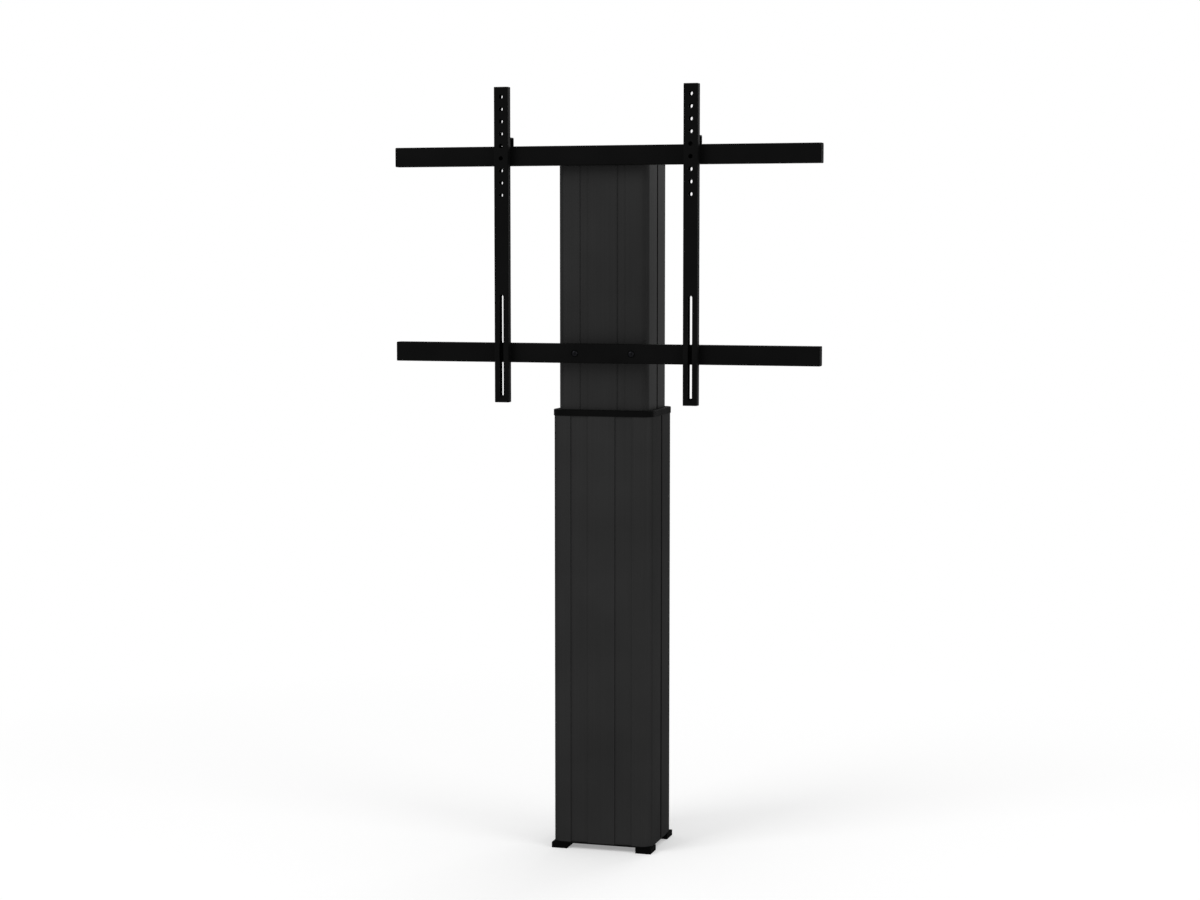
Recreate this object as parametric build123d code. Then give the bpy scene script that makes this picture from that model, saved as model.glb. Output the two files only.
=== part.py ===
# Electric television lift: a two-stage aluminium column on four feet, with a spindle drive
# inside, that raises two crossbars and the two perforated arms a screen is bolted to.
# Millimetres. X runs along the crossbars, Y from the screen back to the wall, Z up.
# The origin lies on the floor, in the middle of the outer box of the whole lift.
import os
from math import acos, cos, pi, radians, sin, tan

from build123d import *

# Outer column: a black anodised extrusion standing on a steel plate and four feet
column_width = 212
column_depth = 172
column_corner = 20
column_wall = 4
column_cavity_corner = 30
column_length = 903
band_inner_edge = 28.5
band_outer_edge = 66.5
band_recess = 2.5
side_groove_width = 8
side_groove_recess = 2

# Travel of the lift, down and up from the height that is modelled
travel_down = 90
travel_up = 560

# Inner column: it telescopes in the outer one
slide_gap = 6
inner_wall = 3.5
inner_corner = 16
inner_floor_gap = 25
inner_band_inner_edge = 30.5
inner_band_outer_edge = 49
inner_band_recess = 2
inner_groove_width = 6

# Feet and base plate
foot_width = 34
foot_depth = 42
foot_height = 12
foot_reach = 2
foot_edge = 1.5
foot_rim_edge = 0.75
foot_peg_diameter = 8
foot_peg_height = 2.5
base_plate_thickness = 3
corner_screw_diameter = 5
corner_screw_length = 16
corner_screw_head = 9

# Collar round the top of the outer column
collar_reach = 1.5
collar_height = 13
collar_cover = 5
collar_fit = 0.1
collar_edge = 0.75
inner_clearance = 0.8

# Glide pads between the two columns
glide_running_gap = 0.3
glide_height = 45
glide_front_width = 46
glide_side_width = 72
glide_relief_width = 14
glide_relief_depth = 2.4
glide_edge = 1
glide_button_diameter = 8
glide_button_height = 1.8
upper_glide_drop = 12
lower_glide_rise = 6

# Crossbars: closed rectangular steel tube
bar_length = 900
bar_height = 40
bar_depth = 25
bar_wall = 2.5
bar_corner = 3
lower_bar_rise = 122.5
bar_spacing = 403
bar_shift = 11.5
column_setback = 28
bar_bolt_spacing = 120

# Arms: closed rectangular steel tube with a row of screen holes and a long slot
arm_width = 30
arm_depth = 20
arm_wall = 2
arm_corner = 2.5
arm_length = 645
arm_top_rise = 140
arm_spacing = 400
arm_gap = 0.3
screen_hole_diameter = 9
screen_hole_pitch = 25
screen_hole_count = 9
first_hole_drop = 20
slot_length = 212
slot_rise = 10

# Plastic end plugs of bars and arms
plug_flange = 2
plug_length = 12
plug_fit = 0.1
plug_wall = 2
plug_edge = 0.7
plug_hollow_corner = 1

# Hooks that hang the arms on the upper bar
hook_width = 24
hook_thickness = 3
hook_rise = 18.5
hook_overlap = 26
hook_bend = 3
hook_weld_gap = 2.5
level_screw_diameter = 6
level_screw_standout = 10
level_nut_width = 10
level_nut_height = 5
lock_screw_diameter = 5
lock_screw_length = 7
lock_head_diameter = 12
lock_head_height = 4
lock_head_edge = 0.5
lock_screw_rise = 8

# Spacers that carry the bars on the inner column, and their fasteners
spacer_width = 180
spacer_height = 36
spacer_corner = 4
spacer_slot_travel = 28
bar_bolt_diameter = 8
bar_bolt_clearance = 1
bar_bolt_head_diameter = 14
bar_bolt_head_height = 4.4
bar_bolt_head_round = 2.9
bar_bolt_socket = 5
bar_bolt_socket_depth = 2.5
bar_bolt_end_gap = 1
rear_bolt_head_width = 13
rear_bolt_head_height = 5.3
rear_bolt_washer_diameter = 15
rear_bolt_washer_height = 1.6
rear_bolt_end_gap = 2
insert_diameter = 11
insert_length = 14
square_nut_width = 13
square_nut_height = 6
nut_track_clearance = 0.4
sleeve_diameter = 14
spacer_screw_diameter = 6
spacer_screw_head = 12
spacer_screw_length = 18
spacer_screw_x = 22
spacer_screw_z = 10
thread_fit = 0.05

# Head casting on top of the inner column
head_height = 35
head_bar_rise = 16.5
head_wall = 8
head_top = 6
head_edge = 2
head_hollow_corner = 3
head_spigot = 14
head_spigot_fit = 0.2
head_screw_diameter = 5
head_screw_head = 9
head_screw_length = 10
head_screw_spread = 44

# Drive: gear case on the base plate
module = 2
spindle_teeth = 44
pinion_teeth = 14
pressure_angle = radians(20)
addendum_share = 0.9
dedendum_share = 1.25
tooth_backlash = 0.25
gear_width = 12
case_floor = 10
case_cavity_height = 15
case_cover_height = 20
case_wall = 5
case_corner = 12
gear_tip_gap = 2
case_screw_diameter = 5
case_screw_head = 8.5
case_screw_head_height = 5
case_screw_inset = 7
case_fit = 0.05
bearing_outer_diameter = 40
bearing_inner_diameter = 17
bearing_race = 4
bearing_width = 8
bearing_seal_gap = 0.3
bearing_seal_recess = 1

# Spindle, actuator tubes and drive nut
spindle_diameter = 18
spindle_end_margin = 16
spindle_collar_diameter = 26
spindle_collar_height = 4
tube_diameter = 50
tube_bore = 44
tube_end_margin = 17
tube_flange_diameter = 56
tube_flange_height = 8
tube_edge = 1
push_diameter = 36
push_bore = 28
bush_height = 20
bush_rim = 4
nut_bottom_rise = 10
nut_height = 40
nut_flange_height = 14
drive_fit = 0.05
running_gap = 0.3
guide_ring_height = 12

# Rod end, clevis pin and cross bracket inside the inner column
rod_end_width = 24
rod_end_height = 42
rod_end_corner = 6
rod_shoulder = 8
rod_spigot = 20
pin_diameter = 12
pin_head_diameter = 18
pin_head_height = 3
pin_washer_height = 2
cheek_thickness = 4
cheek_height = 36
cheek_drop = 16
cheek_gap = 0.5
pin_rise = 26
flange_width = 56
flange_height = 44
rear_screw_x = 22
rear_screw_z = 10

# Gear motor
motor_diameter = 58
motor_length = 150
motor_band_height = 12
motor_band_reach = 1.5
motor_edge = 1.5
motor_shaft_diameter = 8
motor_screw_circle = 40
motor_screw_count = 3
motor_screw_diameter = 4
motor_screw_length = 12

# Control box and power inlet at the bottom
control_width = 40
control_depth = 120
control_height = 48
control_wall = 2.5
control_corner = 4
control_lid_height = 8
control_lid_edge = 1.25
control_gap = 3
inlet_width = 50
inlet_height = 24
inlet_flange = 1.8
inlet_body_width = 28
inlet_body_height = 20
inlet_body_depth = 16
inlet_socket_width = 24
inlet_socket_height = 16
inlet_socket_depth = 14
inlet_corner = 3
inlet_z = 48
inlet_pin_width = 2
inlet_pin_height = 6
inlet_pin_length = 10
inlet_pin_spacing = 7
inlet_screw_spacing = 40
inlet_screw_diameter = 3
inlet_screw_length = 8
inlet_screw_head = 5.5

# One overrun for all cuts
overrun = 1

# Places worked out from the sizes above
total_depth = arm_depth + arm_gap + column_setback + column_depth + foot_reach
arm_front_y = -total_depth / 2
bar_front_y = arm_front_y + arm_depth + arm_gap
bar_back_y = bar_front_y + bar_depth
column_front_y = bar_front_y + column_setback
axis_x = -bar_shift
axis_y = column_front_y + column_depth / 2
plate_top_z = foot_height + base_plate_thickness
column_top_z = plate_top_z + column_length
inner_width = column_width - 2 * (column_wall + slide_gap)
inner_depth = column_depth - 2 * (column_wall + slide_gap)
inner_front_y = column_front_y + column_wall + slide_gap
lower_bar_z = column_top_z + lower_bar_rise
upper_bar_z = lower_bar_z + bar_spacing
arm_top_z = upper_bar_z + arm_top_rise
inner_top_z = upper_bar_z - head_bar_rise
bar_heights = {"upper": upper_bar_z, "lower": lower_bar_z}
arm_places = {"left": axis_x - arm_spacing / 2, "right": axis_x + arm_spacing / 2}
spacer_depth = inner_front_y - bar_back_y
spindle_pitch_radius = module * spindle_teeth / 2
pinion_pitch_radius = module * pinion_teeth / 2
motor_x = axis_x + spindle_pitch_radius + pinion_pitch_radius
case_floor_z = plate_top_z + case_floor
case_joint_z = case_floor_z + case_cavity_height
case_top_z = case_joint_z + case_cover_height
inner_bottom_z = case_top_z + inner_floor_gap + travel_down
inner_length = inner_top_z - inner_bottom_z
nut_bottom_z = inner_bottom_z + nut_bottom_rise
nut_highest_z = nut_bottom_z + travel_up
pin_z = lower_bar_z
push_bottom_z = nut_bottom_z + nut_flange_height
push_length = pin_z - pin_rise - push_bottom_z
spindle_collar_z = case_joint_z + bearing_width
spindle_top_z = nut_highest_z + nut_height + guide_ring_height + spindle_end_margin
tube_bottom_z = case_top_z - tube_flange_height / 2
tube_top_z = nut_highest_z + nut_flange_height + bush_height + tube_end_margin


def at(x, y, z):
    return Pos(x, y, z)


def on_axis(z):
    return Pos(axis_x, axis_y, z)


def upright_cylinder(diameter, height):
    return Cylinder(diameter / 2, height, align=(Align.CENTER, Align.CENTER, Align.MIN))


def ring(outer, bore, height):
    hole = at(0, 0, -overrun) * upright_cylinder(bore, height + 2 * overrun)
    return upright_cylinder(outer, height) - hole


def upright_box(width, depth, height):
    return Box(width, depth, height, align=(Align.CENTER, Align.CENTER, Align.MIN))


def slab(width, depth, height, corner):
    return extrude(RectangleRounded(width, depth, corner), amount=height)


def along_y(shape):
    # turns a shape that was made upright so that its +Z runs along +Y
    return Rot(-90, 0, 0) * shape


def along_x(shape):
    # turns a shape that was made upright so that its +Z runs along +X
    return Rot(0, 90, 0) * shape


def countersunk_screw(diameter, head, length):
    cone_height = (head - diameter) / 2
    cone = Cone(head / 2, diameter / 2, cone_height, align=(Align.CENTER, Align.CENTER, Align.MIN))
    return cone + at(0, 0, cone_height) * upright_cylinder(diameter, length - cone_height)


def countersunk_hole(diameter, head, length):
    # the screw's own form grown by its fit, with its head end left open
    cut = countersunk_screw(diameter + 2 * thread_fit, head + 2 * thread_fit, length)
    return cut + at(0, 0, -overrun) * upright_cylinder(head + 2 * thread_fit, overrun)


# Column extrusions

def extrusion_profile(width, depth, corner, wall, cavity_corner, bands, recess, groove, groove_recess):
    # rounded tube whose front and back carry two sunk bands and whose sides carry one groove;
    # the inside steps in behind each of them, so that the wall keeps its thickness
    inner_edge, outer_edge = bands
    band_width = outer_edge - inner_edge
    band_middle = (outer_edge + inner_edge) / 2
    outside = RectangleRounded(width, depth, corner)
    cavity = RectangleRounded(width - 2 * wall, depth - 2 * wall, cavity_corner)
    for face in (-1, 1):
        for side in (-1, 1):
            spot = Pos(side * band_middle, face * depth / 2)
            outside -= spot * Rectangle(band_width, 2 * recess)
            behind = Pos(side * band_middle, face * (depth / 2 - wall))
            cavity -= behind * Rectangle(band_width + wall, 2 * recess)
        outside -= Pos(face * width / 2, 0) * Rectangle(2 * groove_recess, groove)
        cavity -= Pos(face * (width / 2 - wall), 0) * Rectangle(2 * groove_recess, groove + wall)
    return outside - cavity


def outer_column():
    bands = (band_inner_edge, band_outer_edge)
    profile = extrusion_profile(
        column_width, column_depth, column_corner, column_wall, column_cavity_corner,
        bands, band_recess, side_groove_width, side_groove_recess)
    column = on_axis(plate_top_z) * extrude(profile, amount=column_length)
    for spot in corner_screw_spots():
        hole = upright_cylinder(corner_screw_diameter + 2 * thread_fit, corner_screw_length + overrun)
        column -= spot * at(0, 0, plate_top_z - overrun) * hole
    for spot in upper_glide_spots():
        column -= spot * glide_button(glide_button_diameter + 2 * thread_fit)
    column -= inlet_cutout()
    return column


def inner_column():
    bands = (inner_band_inner_edge, inner_band_outer_edge)
    profile = extrusion_profile(
        inner_width, inner_depth, inner_corner, inner_wall, inner_corner - inner_wall,
        bands, inner_band_recess, inner_groove_width, inner_band_recess)
    column = on_axis(inner_bottom_z) * extrude(profile, amount=inner_length)
    for spot in lower_glide_spots():
        column -= spot * glide_button(glide_button_diameter + 2 * thread_fit)
    for x, z in spacer_screw_places(lower_bar_z):
        column -= at(x, bar_back_y, z) * along_y(spacer_screw_cut())
    for x, z in rear_screw_places():
        column -= at(x, inner_front_y + inner_depth, z) * Rot(90, 0, 0) * rear_screw_cut()
    for x, z in head_screw_places():
        column -= at(x, inner_front_y + inner_depth, z) * Rot(90, 0, 0) * head_screw_cut()
    return column


# Feet, base plate and their screws

def corner_spots(inset_x, inset_y):
    # the four corners of the outer column, drawn in by the given amounts
    for x_side in (-1, 1):
        for y_side in (-1, 1):
            x = axis_x + x_side * (column_width / 2 - inset_x)
            y = axis_y + y_side * (column_depth / 2 - inset_y)
            yield x, y


def corner_screw_spots():
    # in the middle of the thick metal between the outer and the cavity corner
    diagonal_share = 1 - cos(radians(45))
    outside_inset = column_corner * diagonal_share
    cavity_inset = column_wall + column_cavity_corner * diagonal_share
    inset = (outside_inset + cavity_inset) / 2
    return [at(x, y, 0) for x, y in corner_spots(inset, inset)]


def foot_places():
    inset_x = foot_width / 2 - foot_reach
    inset_y = foot_depth / 2 - foot_reach
    return list(corner_spots(inset_x, inset_y))


def feet():
    block = slab(foot_width, foot_depth, foot_height, foot_edge)
    rim = block.edges().group_by(Axis.Z)[0]
    block = chamfer(rim, foot_rim_edge)
    peg = at(0, 0, foot_height) * upright_cylinder(foot_peg_diameter, foot_peg_height)
    return [at(x, y, 0) * (block + peg) for x, y in foot_places()]


def base_plate():
    plate = on_axis(foot_height) * slab(column_width, column_depth, base_plate_thickness, column_corner)
    for spot in corner_screw_spots():
        plate -= spot * at(0, 0, foot_height) * countersunk_hole(
            corner_screw_diameter, corner_screw_head, corner_screw_length)
    for x, y in foot_places():
        hole = upright_cylinder(foot_peg_diameter + 2 * thread_fit, base_plate_thickness + 2 * overrun)
        plate -= at(x, y, foot_height - overrun) * hole
    for x, y in case_screw_places():
        hole = upright_cylinder(case_screw_diameter + 2 * thread_fit, base_plate_thickness + 2 * overrun)
        plate -= at(x, y, foot_height - overrun) * hole
    return plate


def corner_screws():
    screw = countersunk_screw(corner_screw_diameter, corner_screw_head, corner_screw_length)
    return [spot * at(0, 0, foot_height) * screw for spot in corner_screw_spots()]


# Collar and glide pads

def collar():
    outline_width = column_width + 2 * collar_reach
    outline_depth = column_depth + 2 * collar_reach
    bottom_z = column_top_z + collar_cover - collar_height
    body = on_axis(bottom_z) * slab(
        outline_width, outline_depth, collar_height, column_corner + collar_reach)
    top = body.faces().sort_by(Axis.Z)[-1]
    body = chamfer(top.edges(), collar_edge)
    skirt = slab(column_width + 2 * collar_fit, column_depth + 2 * collar_fit,
                 collar_height - collar_cover, column_corner + collar_fit)
    lip_width = column_width - 2 * (column_wall + collar_fit + band_recess)
    lip_depth = column_depth - 2 * (column_wall + collar_fit + band_recess)
    lip = slab(lip_width, lip_depth, collar_height, column_cavity_corner - band_recess)
    body -= on_axis(bottom_z) * (skirt - lip)
    way_through = slab(inner_width + 2 * inner_clearance, inner_depth + 2 * inner_clearance,
                       collar_height + 2 * overrun, inner_corner + inner_clearance)
    return body - on_axis(bottom_z - overrun) * way_through


def glide_button(diameter):
    return at(0, glide_button_height / 2, 0) * along_y(
        Cylinder(diameter / 2, glide_button_height))


def glide_pad(width, relieved):
    # its back lies on the wall at y = 0 and its running face looks to -Y
    thickness = slide_gap - glide_running_gap
    pad = at(0, -thickness / 2, 0) * Box(width, thickness, glide_height)
    ends = pad.faces().sort_by(Axis.Y)[0].edges()
    pad = chamfer(ends, glide_edge)
    if relieved:
        relief = Box(glide_relief_width, 2 * glide_relief_depth, glide_height + 2 * overrun)
        pad -= relief
        pad -= at(0, -thickness, 0) * relief
        button_x = (width + glide_relief_width) / 4
        return pad + at(button_x, 0, 0) * glide_button(glide_button_diameter)
    return pad + glide_button(glide_button_diameter)


def face_turns():
    # each face of a column, with the turn about Z that brings +Y to point out of it
    return {"front": 180, "left": 90, "back": 0, "right": -90}


def wall_spot(name, half_width, half_depth, z):
    reach = half_depth if name in ("front", "back") else half_width
    return on_axis(z) * Rot(0, 0, face_turns()[name]) * at(0, reach, 0)


def side_button_shift(name):
    return 0 if name in ("front", "back") else (glide_side_width + glide_relief_width) / 4


def upper_glide_spots():
    z = column_top_z - upper_glide_drop - glide_height / 2
    half_width = column_width / 2 - column_wall
    half_depth = column_depth / 2 - column_wall
    return [wall_spot(name, half_width, half_depth, z) * at(side_button_shift(name), 0, 0)
            for name in face_turns()]


def lower_glide_spots():
    z = inner_bottom_z + lower_glide_rise + glide_height / 2
    return [wall_spot(name, inner_width / 2, inner_depth / 2, z)
            * Rot(0, 0, 180) * at(side_button_shift(name), 0, 0) for name in face_turns()]


def upper_glide(name):
    z = column_top_z - upper_glide_drop - glide_height / 2
    spot = wall_spot(name, column_width / 2 - column_wall, column_depth / 2 - column_wall, z)
    sideways = name in ("left", "right")
    return spot * glide_pad(glide_side_width if sideways else glide_front_width, sideways)


def lower_glide(name):
    z = inner_bottom_z + lower_glide_rise + glide_height / 2
    spot = wall_spot(name, inner_width / 2, inner_depth / 2, z)
    sideways = name in ("left", "right")
    return spot * Rot(0, 0, 180) * glide_pad(
        glide_side_width if sideways else glide_front_width, sideways)


# Crossbars, their plugs, sleeves and bolts

def bar_bolt_places():
    return (-bar_bolt_spacing / 2, bar_bolt_spacing / 2)


def crossbar(z):
    length = bar_length - 2 * plug_flange
    outside = RectangleRounded(bar_height, bar_depth, bar_corner)
    inside = RectangleRounded(bar_height - 2 * bar_wall, bar_depth - 2 * bar_wall, bar_corner - bar_wall / 2)
    section = outside - inside
    return at(-length / 2, bar_front_y + bar_depth / 2, z) * along_x(extrude(section, amount=length))


def lower_bar():
    # bolted through from the front
    tube = crossbar(lower_bar_z)
    hole = upright_cylinder(bar_bolt_diameter + bar_bolt_clearance, bar_depth + 2 * overrun)
    for x in bar_bolt_places():
        tube -= at(x, bar_front_y - overrun, lower_bar_z) * along_y(hole)
    return tube


def upper_bar():
    # its front is unbroken: threaded inserts in the back wall take the bolts
    tube = crossbar(upper_bar_z)
    hole = upright_cylinder(insert_diameter + 2 * thread_fit, bar_wall + 2 * overrun)
    for x in bar_bolt_places():
        tube -= at(x, bar_back_y - bar_wall - overrun, upper_bar_z) * along_y(hole)
    return tube


def upper_bar_inserts():
    insert = ring(insert_diameter, bar_bolt_diameter + 2 * thread_fit, insert_length)
    y = bar_back_y - insert_length
    return [at(x, y, upper_bar_z) * along_y(insert) for x in bar_bolt_places()]


def end_plug(width, depth, corner, wall):
    # flange on top at z = 0 and a hollow plug below it
    flange = slab(width, depth, plug_flange, corner)
    flange = chamfer(flange.faces().sort_by(Axis.Z)[-1].edges(), plug_edge)
    inset = 2 * (wall + plug_fit)
    stem_corner = max(corner - wall / 2, plug_fit)
    stem = slab(width - inset, depth - inset, plug_length, stem_corner)
    hollow = slab(width - inset - 2 * plug_wall, depth - inset - 2 * plug_wall,
                  plug_length, plug_hollow_corner)
    return flange + at(0, 0, -plug_length) * (stem - hollow)


def bar_plug(side, z):
    plug = end_plug(bar_height, bar_depth, bar_corner, bar_wall)
    x = side * (bar_length / 2 - plug_flange)
    return at(x, bar_front_y + bar_depth / 2, z) * Rot(0, side * 90, 0) * plug


def lower_bar_sleeves():
    sleeve = ring(sleeve_diameter, bar_bolt_diameter + bar_bolt_clearance, bar_depth - 2 * bar_wall)
    return [at(x, bar_front_y + bar_wall, lower_bar_z) * along_y(sleeve) for x in bar_bolt_places()]


def bar_bolt():
    # button head on -Z, with its hexagon socket, and the shank upwards
    head = at(0, 0, -bar_bolt_head_height) * upright_cylinder(bar_bolt_head_diameter, bar_bolt_head_height)
    head = fillet(head.edges().group_by(Axis.Z)[0], bar_bolt_head_round)
    hexagon = RegularPolygon(bar_bolt_socket / 2, 6, major_radius=False)
    socket = extrude(hexagon, amount=bar_bolt_socket_depth)
    head -= at(0, 0, -bar_bolt_head_height) * socket
    length = bar_depth + spacer_depth - bar_bolt_end_gap
    return head + upright_cylinder(bar_bolt_diameter, length)


def lower_bar_bolts():
    return [at(x, bar_front_y, lower_bar_z) * along_y(bar_bolt()) for x in bar_bolt_places()]


def lower_bar_nuts():
    nut = upright_box(square_nut_width, square_nut_width, square_nut_height)
    hole = upright_cylinder(bar_bolt_diameter + 2 * thread_fit, square_nut_height + 2 * overrun)
    nut -= at(0, 0, -overrun) * hole
    y = bar_back_y + spacer_depth - square_nut_height - nut_track_clearance
    return [at(x, y, lower_bar_z) * along_y(nut) for x in bar_bolt_places()]


def head_front_wall():
    # from the front face of the head to its hollow
    return inner_wall + inner_band_recess + head_spigot_fit + head_wall


def upper_bar_bolts():
    # hexagon head inside the head casting, shank towards the bar
    reach = head_front_wall() + rear_bolt_washer_height
    length = insert_length + spacer_depth + reach - rear_bolt_end_gap
    head = extrude(RegularPolygon(rear_bolt_head_width / 2, 6, major_radius=False),
                   amount=rear_bolt_head_height)
    bolt = at(0, 0, -rear_bolt_head_height) * head + upright_cylinder(bar_bolt_diameter, length)
    y = inner_front_y + reach
    return [at(x, y, upper_bar_z) * Rot(90, 0, 0) * bolt for x in bar_bolt_places()]


def upper_bar_washers():
    washer = ring(rear_bolt_washer_diameter, bar_bolt_diameter + bar_bolt_clearance, rear_bolt_washer_height)
    y = inner_front_y + head_front_wall()
    return [at(x, y, upper_bar_z) * along_y(washer) for x in bar_bolt_places()]


# Spacers between the inner column and the bars

def spacer_screw_cut():
    return countersunk_hole(spacer_screw_diameter, spacer_screw_head, spacer_screw_length + overrun)


def spacer_screw_places(z):
    return [(axis_x + sx * spacer_screw_x, z + sz * spacer_screw_z) for sx in (-1, 1) for sz in (-1, 1)]


def bolt_slots(depth):
    # two level slots that let a bar be set sideways
    slot = SlotCenterToCenter(spacer_slot_travel, bar_bolt_diameter + bar_bolt_clearance)
    cut = extrude(slot, amount=depth)
    return [at(side * bar_bolt_spacing / 2, 0, 0) * cut for side in (-1, 1)]


def nut_tracks():
    depth = square_nut_height + nut_track_clearance
    width = square_nut_width + nut_track_clearance
    track = upright_box(spacer_slot_travel + width, width, depth + overrun)
    return [at(side * bar_bolt_spacing / 2, 0, spacer_depth - depth) * track for side in (-1, 1)]


def bar_spacer(z, tracks):
    plate = slab(spacer_width, spacer_height, spacer_depth, spacer_corner)
    for slot in bolt_slots(spacer_depth + 2 * overrun):
        plate -= at(0, 0, -overrun) * slot
    for track in tracks:
        plate -= track
    plate = at(axis_x, bar_back_y, z) * along_y(plate)
    for x, screw_z in spacer_screw_places(z):
        plate -= at(x, bar_back_y, screw_z) * along_y(spacer_screw_cut())
    return plate


def spacer_screws():
    screw = along_y(countersunk_screw(spacer_screw_diameter, spacer_screw_head, spacer_screw_length))
    return [at(x, bar_back_y, z) * screw
            for bar_z in bar_heights.values() for x, z in spacer_screw_places(bar_z)]


# Head casting

def head_screw_cut():
    return countersunk_hole(head_screw_diameter, head_screw_head, head_screw_length + overrun)


def head_screw_places():
    z = inner_top_z - head_spigot / 2
    return [(axis_x + side * head_screw_spread / 2, z) for side in (-1, 1)]


def head_casting():
    body = slab(inner_width, inner_depth, head_height, inner_corner)
    body = chamfer(body.faces().sort_by(Axis.Z)[-1].edges(), head_edge)
    inset = 2 * (inner_wall + inner_band_recess + head_spigot_fit)
    spigot_corner = inner_corner - inner_wall - inner_band_recess
    spigot = at(0, 0, -head_spigot) * slab(
        inner_width - inset, inner_depth - inset, head_spigot, spigot_corner)
    hollow = at(0, 0, -head_spigot - overrun) * slab(
        inner_width - inset - 2 * head_wall, inner_depth - inset - 2 * head_wall,
        head_spigot + overrun + head_height - head_top, head_hollow_corner)
    head = on_axis(inner_top_z) * (body + spigot - hollow)
    for slot in bolt_slots(head_front_wall() + 2 * overrun):
        head -= at(axis_x, inner_front_y - overrun, upper_bar_z) * along_y(slot)
    for x, z in spacer_screw_places(upper_bar_z):
        head -= at(x, bar_back_y, z) * along_y(spacer_screw_cut())
    for x, z in head_screw_places():
        head -= at(x, inner_front_y + inner_depth, z) * Rot(90, 0, 0) * head_screw_cut()
    return head


def head_screws():
    screw = countersunk_screw(head_screw_diameter, head_screw_head, head_screw_length)
    return [at(x, inner_front_y + inner_depth, z) * Rot(90, 0, 0) * screw for x, z in head_screw_places()]


# Arms and their hooks

def arm(x):
    length = arm_length - 2 * plug_flange
    outside = RectangleRounded(arm_width, arm_depth, arm_corner)
    inside = RectangleRounded(arm_width - 2 * arm_wall, arm_depth - 2 * arm_wall, arm_corner - arm_wall / 2)
    bottom_z = arm_top_z - arm_length
    foot = at(x, arm_front_y + arm_depth / 2, bottom_z + plug_flange)
    tube = foot * extrude(outside - inside, amount=length)
    cut_length = arm_depth + 2 * overrun
    hole = along_y(upright_cylinder(screen_hole_diameter, cut_length))
    for count in range(screen_hole_count):
        z = arm_top_z - first_hole_drop - count * screen_hole_pitch
        tube -= at(x, arm_front_y - overrun, z) * hole
    slot = Rot(0, 0, 90) * SlotOverall(slot_length, screen_hole_diameter)
    slot_z = bottom_z + slot_rise + slot_length / 2
    tube -= at(x, arm_front_y - overrun, slot_z) * along_y(extrude(slot, amount=cut_length))
    return tube


def arm_plug(x, top):
    plug = end_plug(arm_width, arm_depth, arm_corner, arm_wall)
    y = arm_front_y + arm_depth / 2
    if top:
        return at(x, y, arm_top_z - plug_flange) * plug
    return at(x, y, arm_top_z - arm_length + plug_flange) * Rot(180, 0, 0) * plug


def hook_levels():
    top = upper_bar_z + bar_height / 2 + hook_rise
    weld_bottom = upper_bar_z + bar_height / 2 + hook_weld_gap
    tip = upper_bar_z + bar_height / 2 - hook_overlap
    return top, weld_bottom, tip


def arm_hook(x):
    # strip folded twice: welded to the arm, over the bar and down behind it
    top, weld_bottom, tip = hook_levels()
    front = bar_front_y - arm_gap
    back = bar_back_y + arm_gap + hook_thickness
    outline = Polyline(
        (front, weld_bottom), (front, top), (back, top), (back, tip),
        (back - hook_thickness, tip), (back - hook_thickness, top - hook_thickness),
        (front + hook_thickness, top - hook_thickness), (front + hook_thickness, weld_bottom),
        close=True)
    strip = extrude(Plane.YZ * make_face(outline), amount=hook_width / 2, both=True)
    bends = strip.edges().filter_by(Axis.X).group_by(Axis.Z)[-1]
    strip = fillet(bends, hook_bend)
    screw_y = bar_front_y + bar_depth / 2
    hole = upright_cylinder(level_screw_diameter + 2 * thread_fit, hook_thickness + 2 * overrun)
    strip -= at(0, screw_y, top - hook_thickness - overrun) * hole
    lock_hole = upright_cylinder(lock_screw_diameter + 2 * thread_fit, hook_thickness + 2 * overrun)
    strip -= at(0, back - hook_thickness - overrun, lock_z()) * along_y(lock_hole)
    return at(x, 0, 0) * strip


def lock_z():
    return upper_bar_z + bar_height / 2 - hook_overlap + lock_screw_rise


def level_screw(x):
    top, _, _ = hook_levels()
    tip_z = upper_bar_z + bar_height / 2
    shank = upright_cylinder(level_screw_diameter, top - tip_z + level_screw_standout)
    return at(x, bar_front_y + bar_depth / 2, tip_z) * shank


def level_nut(x):
    top, _, _ = hook_levels()
    nut = extrude(RegularPolygon(level_nut_width / 2, 6, major_radius=False), amount=level_nut_height)
    hole = upright_cylinder(level_screw_diameter + 2 * thread_fit, level_nut_height + 2 * overrun)
    return at(x, bar_front_y + bar_depth / 2, top) * (nut - at(0, 0, -overrun) * hole)


def lock_screw(x):
    shank = upright_cylinder(lock_screw_diameter, lock_screw_length)
    head = upright_cylinder(lock_head_diameter, lock_head_height)
    head = chamfer(head.edges(), lock_head_edge)
    screw = along_y(shank + at(0, 0, lock_screw_length) * head)
    return at(x, bar_back_y, lock_z()) * screw


# Gear pair: involute teeth, thinned by the backlash

def involute(angle):
    return tan(angle) - angle


def gear_outline(teeth, turn):
    flank_shares = (0, 0.3, 0.65, 1)
    pitch_radius = module * teeth / 2
    base_radius = pitch_radius * cos(pressure_angle)
    tip_radius = pitch_radius + addendum_share * module
    root_radius = pitch_radius - dedendum_share * module
    start_radius = max(base_radius, root_radius)
    half_angle = (pi * module / 2 - tooth_backlash) / 2 / pitch_radius
    points = []
    for tooth in range(teeth):
        middle = turn + 2 * pi * tooth / teeth
        flank = []
        for share in flank_shares:
            radius = start_radius + share * (tip_radius - start_radius)
            lean = half_angle + involute(pressure_angle) - involute(acos(base_radius / radius))
            flank.append((radius, lean))
        if root_radius < start_radius:
            flank.insert(0, (root_radius, flank[0][1]))
        points += [(r * cos(middle - a), r * sin(middle - a)) for r, a in flank]
        points += [(r * cos(middle + a), r * sin(middle + a)) for r, a in reversed(flank)]
    return make_face(Polyline(*points, close=True))


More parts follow.
